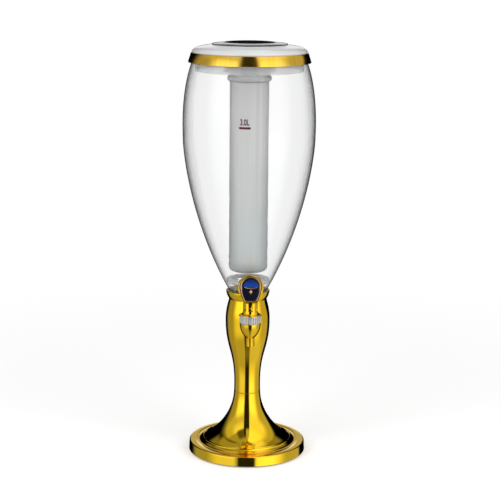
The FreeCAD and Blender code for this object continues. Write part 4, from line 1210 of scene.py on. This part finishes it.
# soft boxes as polished metal sees them: degrees round from the camera with the widths of the
# edges, degrees up with theirs, and strength
softBoxes = {
    "rightWall": ((15.5, 175.0, 2.0, 1.0), (-100.0, 100.0, 1.0, 1.0), 0.52),
    "rightGlow": ((19.0, 69.0, 4.0, 19.0), (-27.0, 31.0, 15.0, 11.0), 0.96),
    "rightHigh": ((16.0, 100.0, 3.0, 15.0), (33.0, 100.0, 9.0, 1.0), 0.55),
    "rightTop": ((18.0, 89.0, 5.0, 12.0), (57.0, 100.0, 6.0, 1.0), 0.26),
    "leftWall": ((-175.0, -17.0, 1.0, 2.0), (-100.0, 100.0, 1.0, 1.0), 0.39),
    "leftGlow": ((-73.0, -22.0, 17.0, 4.0), (-4.0, 27.0, 8.0, 9.0), 0.57),
    "leftGlowLow": ((-73.0, -22.0, 17.0, 4.0), (-27.0, 27.0, 8.0, 9.0), 0.50),
    "leftHigh": ((-74.0, -19.0, 12.0, 2.0), (40.0, 58.0, 13.0, 2.0), 0.62),
    "leftMid": ((-64.0, -20.0, 12.0, 4.0), (25.0, 36.0, 6.0, 6.0), 0.24),
    "leftLow": ((-84.0, -20.0, 12.0, 4.0), (-100.0, -24.0, 1.0, 8.0), 0.10),
    "rightLow": ((20.0, 100.0, 4.0, 12.0), (-100.0, -30.0, 1.0, 8.0), 0.18),
    "leftFarHigh": ((-110.0, -74.0, 8.0, 8.0), (26.0, 57.0, 8.0, 4.0), 0.22),
}
roomLights = {
    "overhead": ((-4.0, 30.0, 4.0, 6.0), (57.0, 100.0, 4.0, 1.0), 0.55),
    "zenith": ((-200.0, 200.0, 1.0, 1.0), (74.0, 100.0, 8.0, 1.0), 0.45),
    "highBackRight": ((95.0, 200.0, 5.0, 1.0), (60.0, 100.0, 10.0, 1.0), 1.05),
    "highBackLeft": ((-158.0, -112.0, 6.0, 8.0), (46.0, 100.0, 6.0, 1.0), 0.36),
    "backRight": ((155.0, 200.0, 5.0, 1.0), (45.0, 100.0, 5.0, 1.0), 1.05),
    "backRightDim": ((112.0, 152.0, 4.0, 8.0), (35.0, 100.0, 5.0, 1.0), 0.28),
    "backLeftDim": ((-158.0, -128.0, 6.0, 8.0), (35.0, 60.0, 5.0, 4.0), 0.22),
    "backLeft": ((-200.0, -157.0, 1.0, 5.0), (46.0, 100.0, 4.0, 1.0), 0.55),
    "floorFront": ((-40.0, 30.0, 10.0, 10.0), (-100.0, -42.0, 1.0, 14.0), 0.26),
}
backdrops = {     # pale, right behind the object: where they start round it, degrees up, strength
    "low": ((167.0, 173.0), (3.0, 16.0, 4.0, 3.0), 0.95),
    "dimWide": ((167.0, 173.0), (17.0, 31.0, 2.0, 1.5), 0.2),
    "dimNear": ((167.0, 173.0), (17.0, 25.0, 2.0, 2.0), 0.3),
    "strip": ((171.0, 175.0), (32.0, 50.0, 1.5, 3.0), 0.9),
}


def lightWorld(size):
    world = bpy.data.worlds.new("studio")
    bpy.context.scene.world = world
    world.use_nodes = True
    world.cycles.sampling_method = "NONE"
    graph = Graph(world.node_tree)
    heading = graph.out("ShaderNodeTexCoord", None, None, "Generated")
    x, y, z = graph.split(graph.out("ShaderNodeVectorRotate", {"rotation_type": "Z_AXIS"}, {
        "Vector": heading, "Angle": math.radians(-camera["azimuth"])}))
    degrees = 180.0 / math.pi
    side = graph.maths("ARCTAN2", x, -y) * degrees
    rise = z.maths("ARCSINE") * degrees
    away = side.maths("ABSOLUTE")

    def glows(kinds):
        return [graph.panel(side, *wide) * graph.panel(rise, *tall) * strength
                for wide, tall, strength in kinds.values()]

    stretch = graph.ease(rise, *size["rightLow"]) + graph.ease(rise, *size["rightHigh"])
    rightEdge = graph.ease(side - stretch, *size["rightEnd"], 1.0, 0.0)
    leftRise = rise.maths("MAXIMUM", 0.0) * size["leftRise"]
    leftEdge = graph.ease(leftRise - side, *size["leftEnd"], 1.0, 0.0)
    dark = graph.panel(side, *size["darkSide"]) * graph.ease(rise, *size["darkAbove"])
    shining = sum(glows(softBoxes)) * rightEdge * leftEdge * (1.0 - dark)
    pale = sum(graph.ease(away, *start) * graph.panel(rise, *tall) * strength
               for start, tall, strength in backdrops.values())
    for glow in glows(roomLights) + [size["gapLevel"] * graph.ease(away, *size["gapEdge"]), pale]:
        shining = shining.maths("MAXIMUM", glow)

    ray = graph.rays()
    mirrored, through = graph.mirrored(ray), ray("Is Transmission Ray")
    within = through * (ray("Transmission Depth") < size["insideDepth"]) * size["insideShare"]
    plain = ray("Is Camera Ray").maths("MAXIMUM", through) * (1.0 - mirrored)
    inside = size["inside"] * graph.ease(away, *size["insideEdge"])
    mirror = shining * (1.0 - within) + within * inside
    lit = mirrored * mirror + (1.0 - mirrored) * (plain + (1.0 - plain) * size["fill"])
    shader = graph.out("ShaderNodeBackground", None, {0: rgb(1, 1, 1), 1: lit})
    graph.node("ShaderNodeOutputWorld", None, {0: shader})


lamps = {"round": {"keyLeft": -48.0, "keyRight": 44.0}, "elevation": 38.0, "distance": 2.2,
         "width": 1.2, "height": 1.6, "lookAt": 0.3, "watts": 15.0}


def hangLamps(size):
    for name, azimuth in size["round"].items():
        data = bpy.data.lights.new(name, "AREA")
        data.shape = "RECTANGLE"
        data.size, data.size_y = size["width"], size["height"]
        data.energy = size["watts"]
        aim = fromFront(azimuth, size["elevation"])
        spot = aim * size["distance"] + Vector((0.0, 0.0, size["lookAt"]))
        lamp = aimed(name, data, spot, aim, "Z", size)
        lamp.visible_camera = lamp.visible_glossy = lamp.visible_transmission = False


floor = {"radius": 4.0, "segments": 96, "level": -0.0003, "fade": (0.35, 1.1), "glow": 0.30,
         "colour": rgb(0.80, 0.80, 0.80)}


def layFloor(size):
    material, graph, where = startMaterial("paleFloor")
    x, y, _ = graph.split(where)
    near = graph.ease((x * x + y * y) ** 0.5, *size["fade"], 1.0, 0.0)
    diffuse = graph.out("ShaderNodeBsdfDiffuse", None, {0: size["colour"]})
    lit = graph.out("ShaderNodeAddShader", None, {0: diffuse, 1: graph.emission(size["glow"])})
    upper = graph.mixed(near, graph.emission(1.0), lit)
    beneath = graph.out("ShaderNodeNewGeometry", None, None, "Backfacing")
    unseen = beneath.maths("MAXIMUM", graph.mirrored(graph.rays()))
    finishMaterial(material, graph, graph.mixed(unseen, upper, graph.clear(1.0)))
    made = bmesh.new()
    bmesh.ops.create_circle(made, cap_ends=True, segments=size["segments"], radius=size["radius"])
    for vertex in made.verts:
        vertex.co.z = size["level"]
    piece = meshPiece("floor", made, material)
    piece.visible_glossy = False


placeCamera(camera)
lightWorld(studio)
hangLamps(lamps)
layFloor(floor)
bpy.context.scene.view_settings.view_transform = "Standard"
print("studio lit")
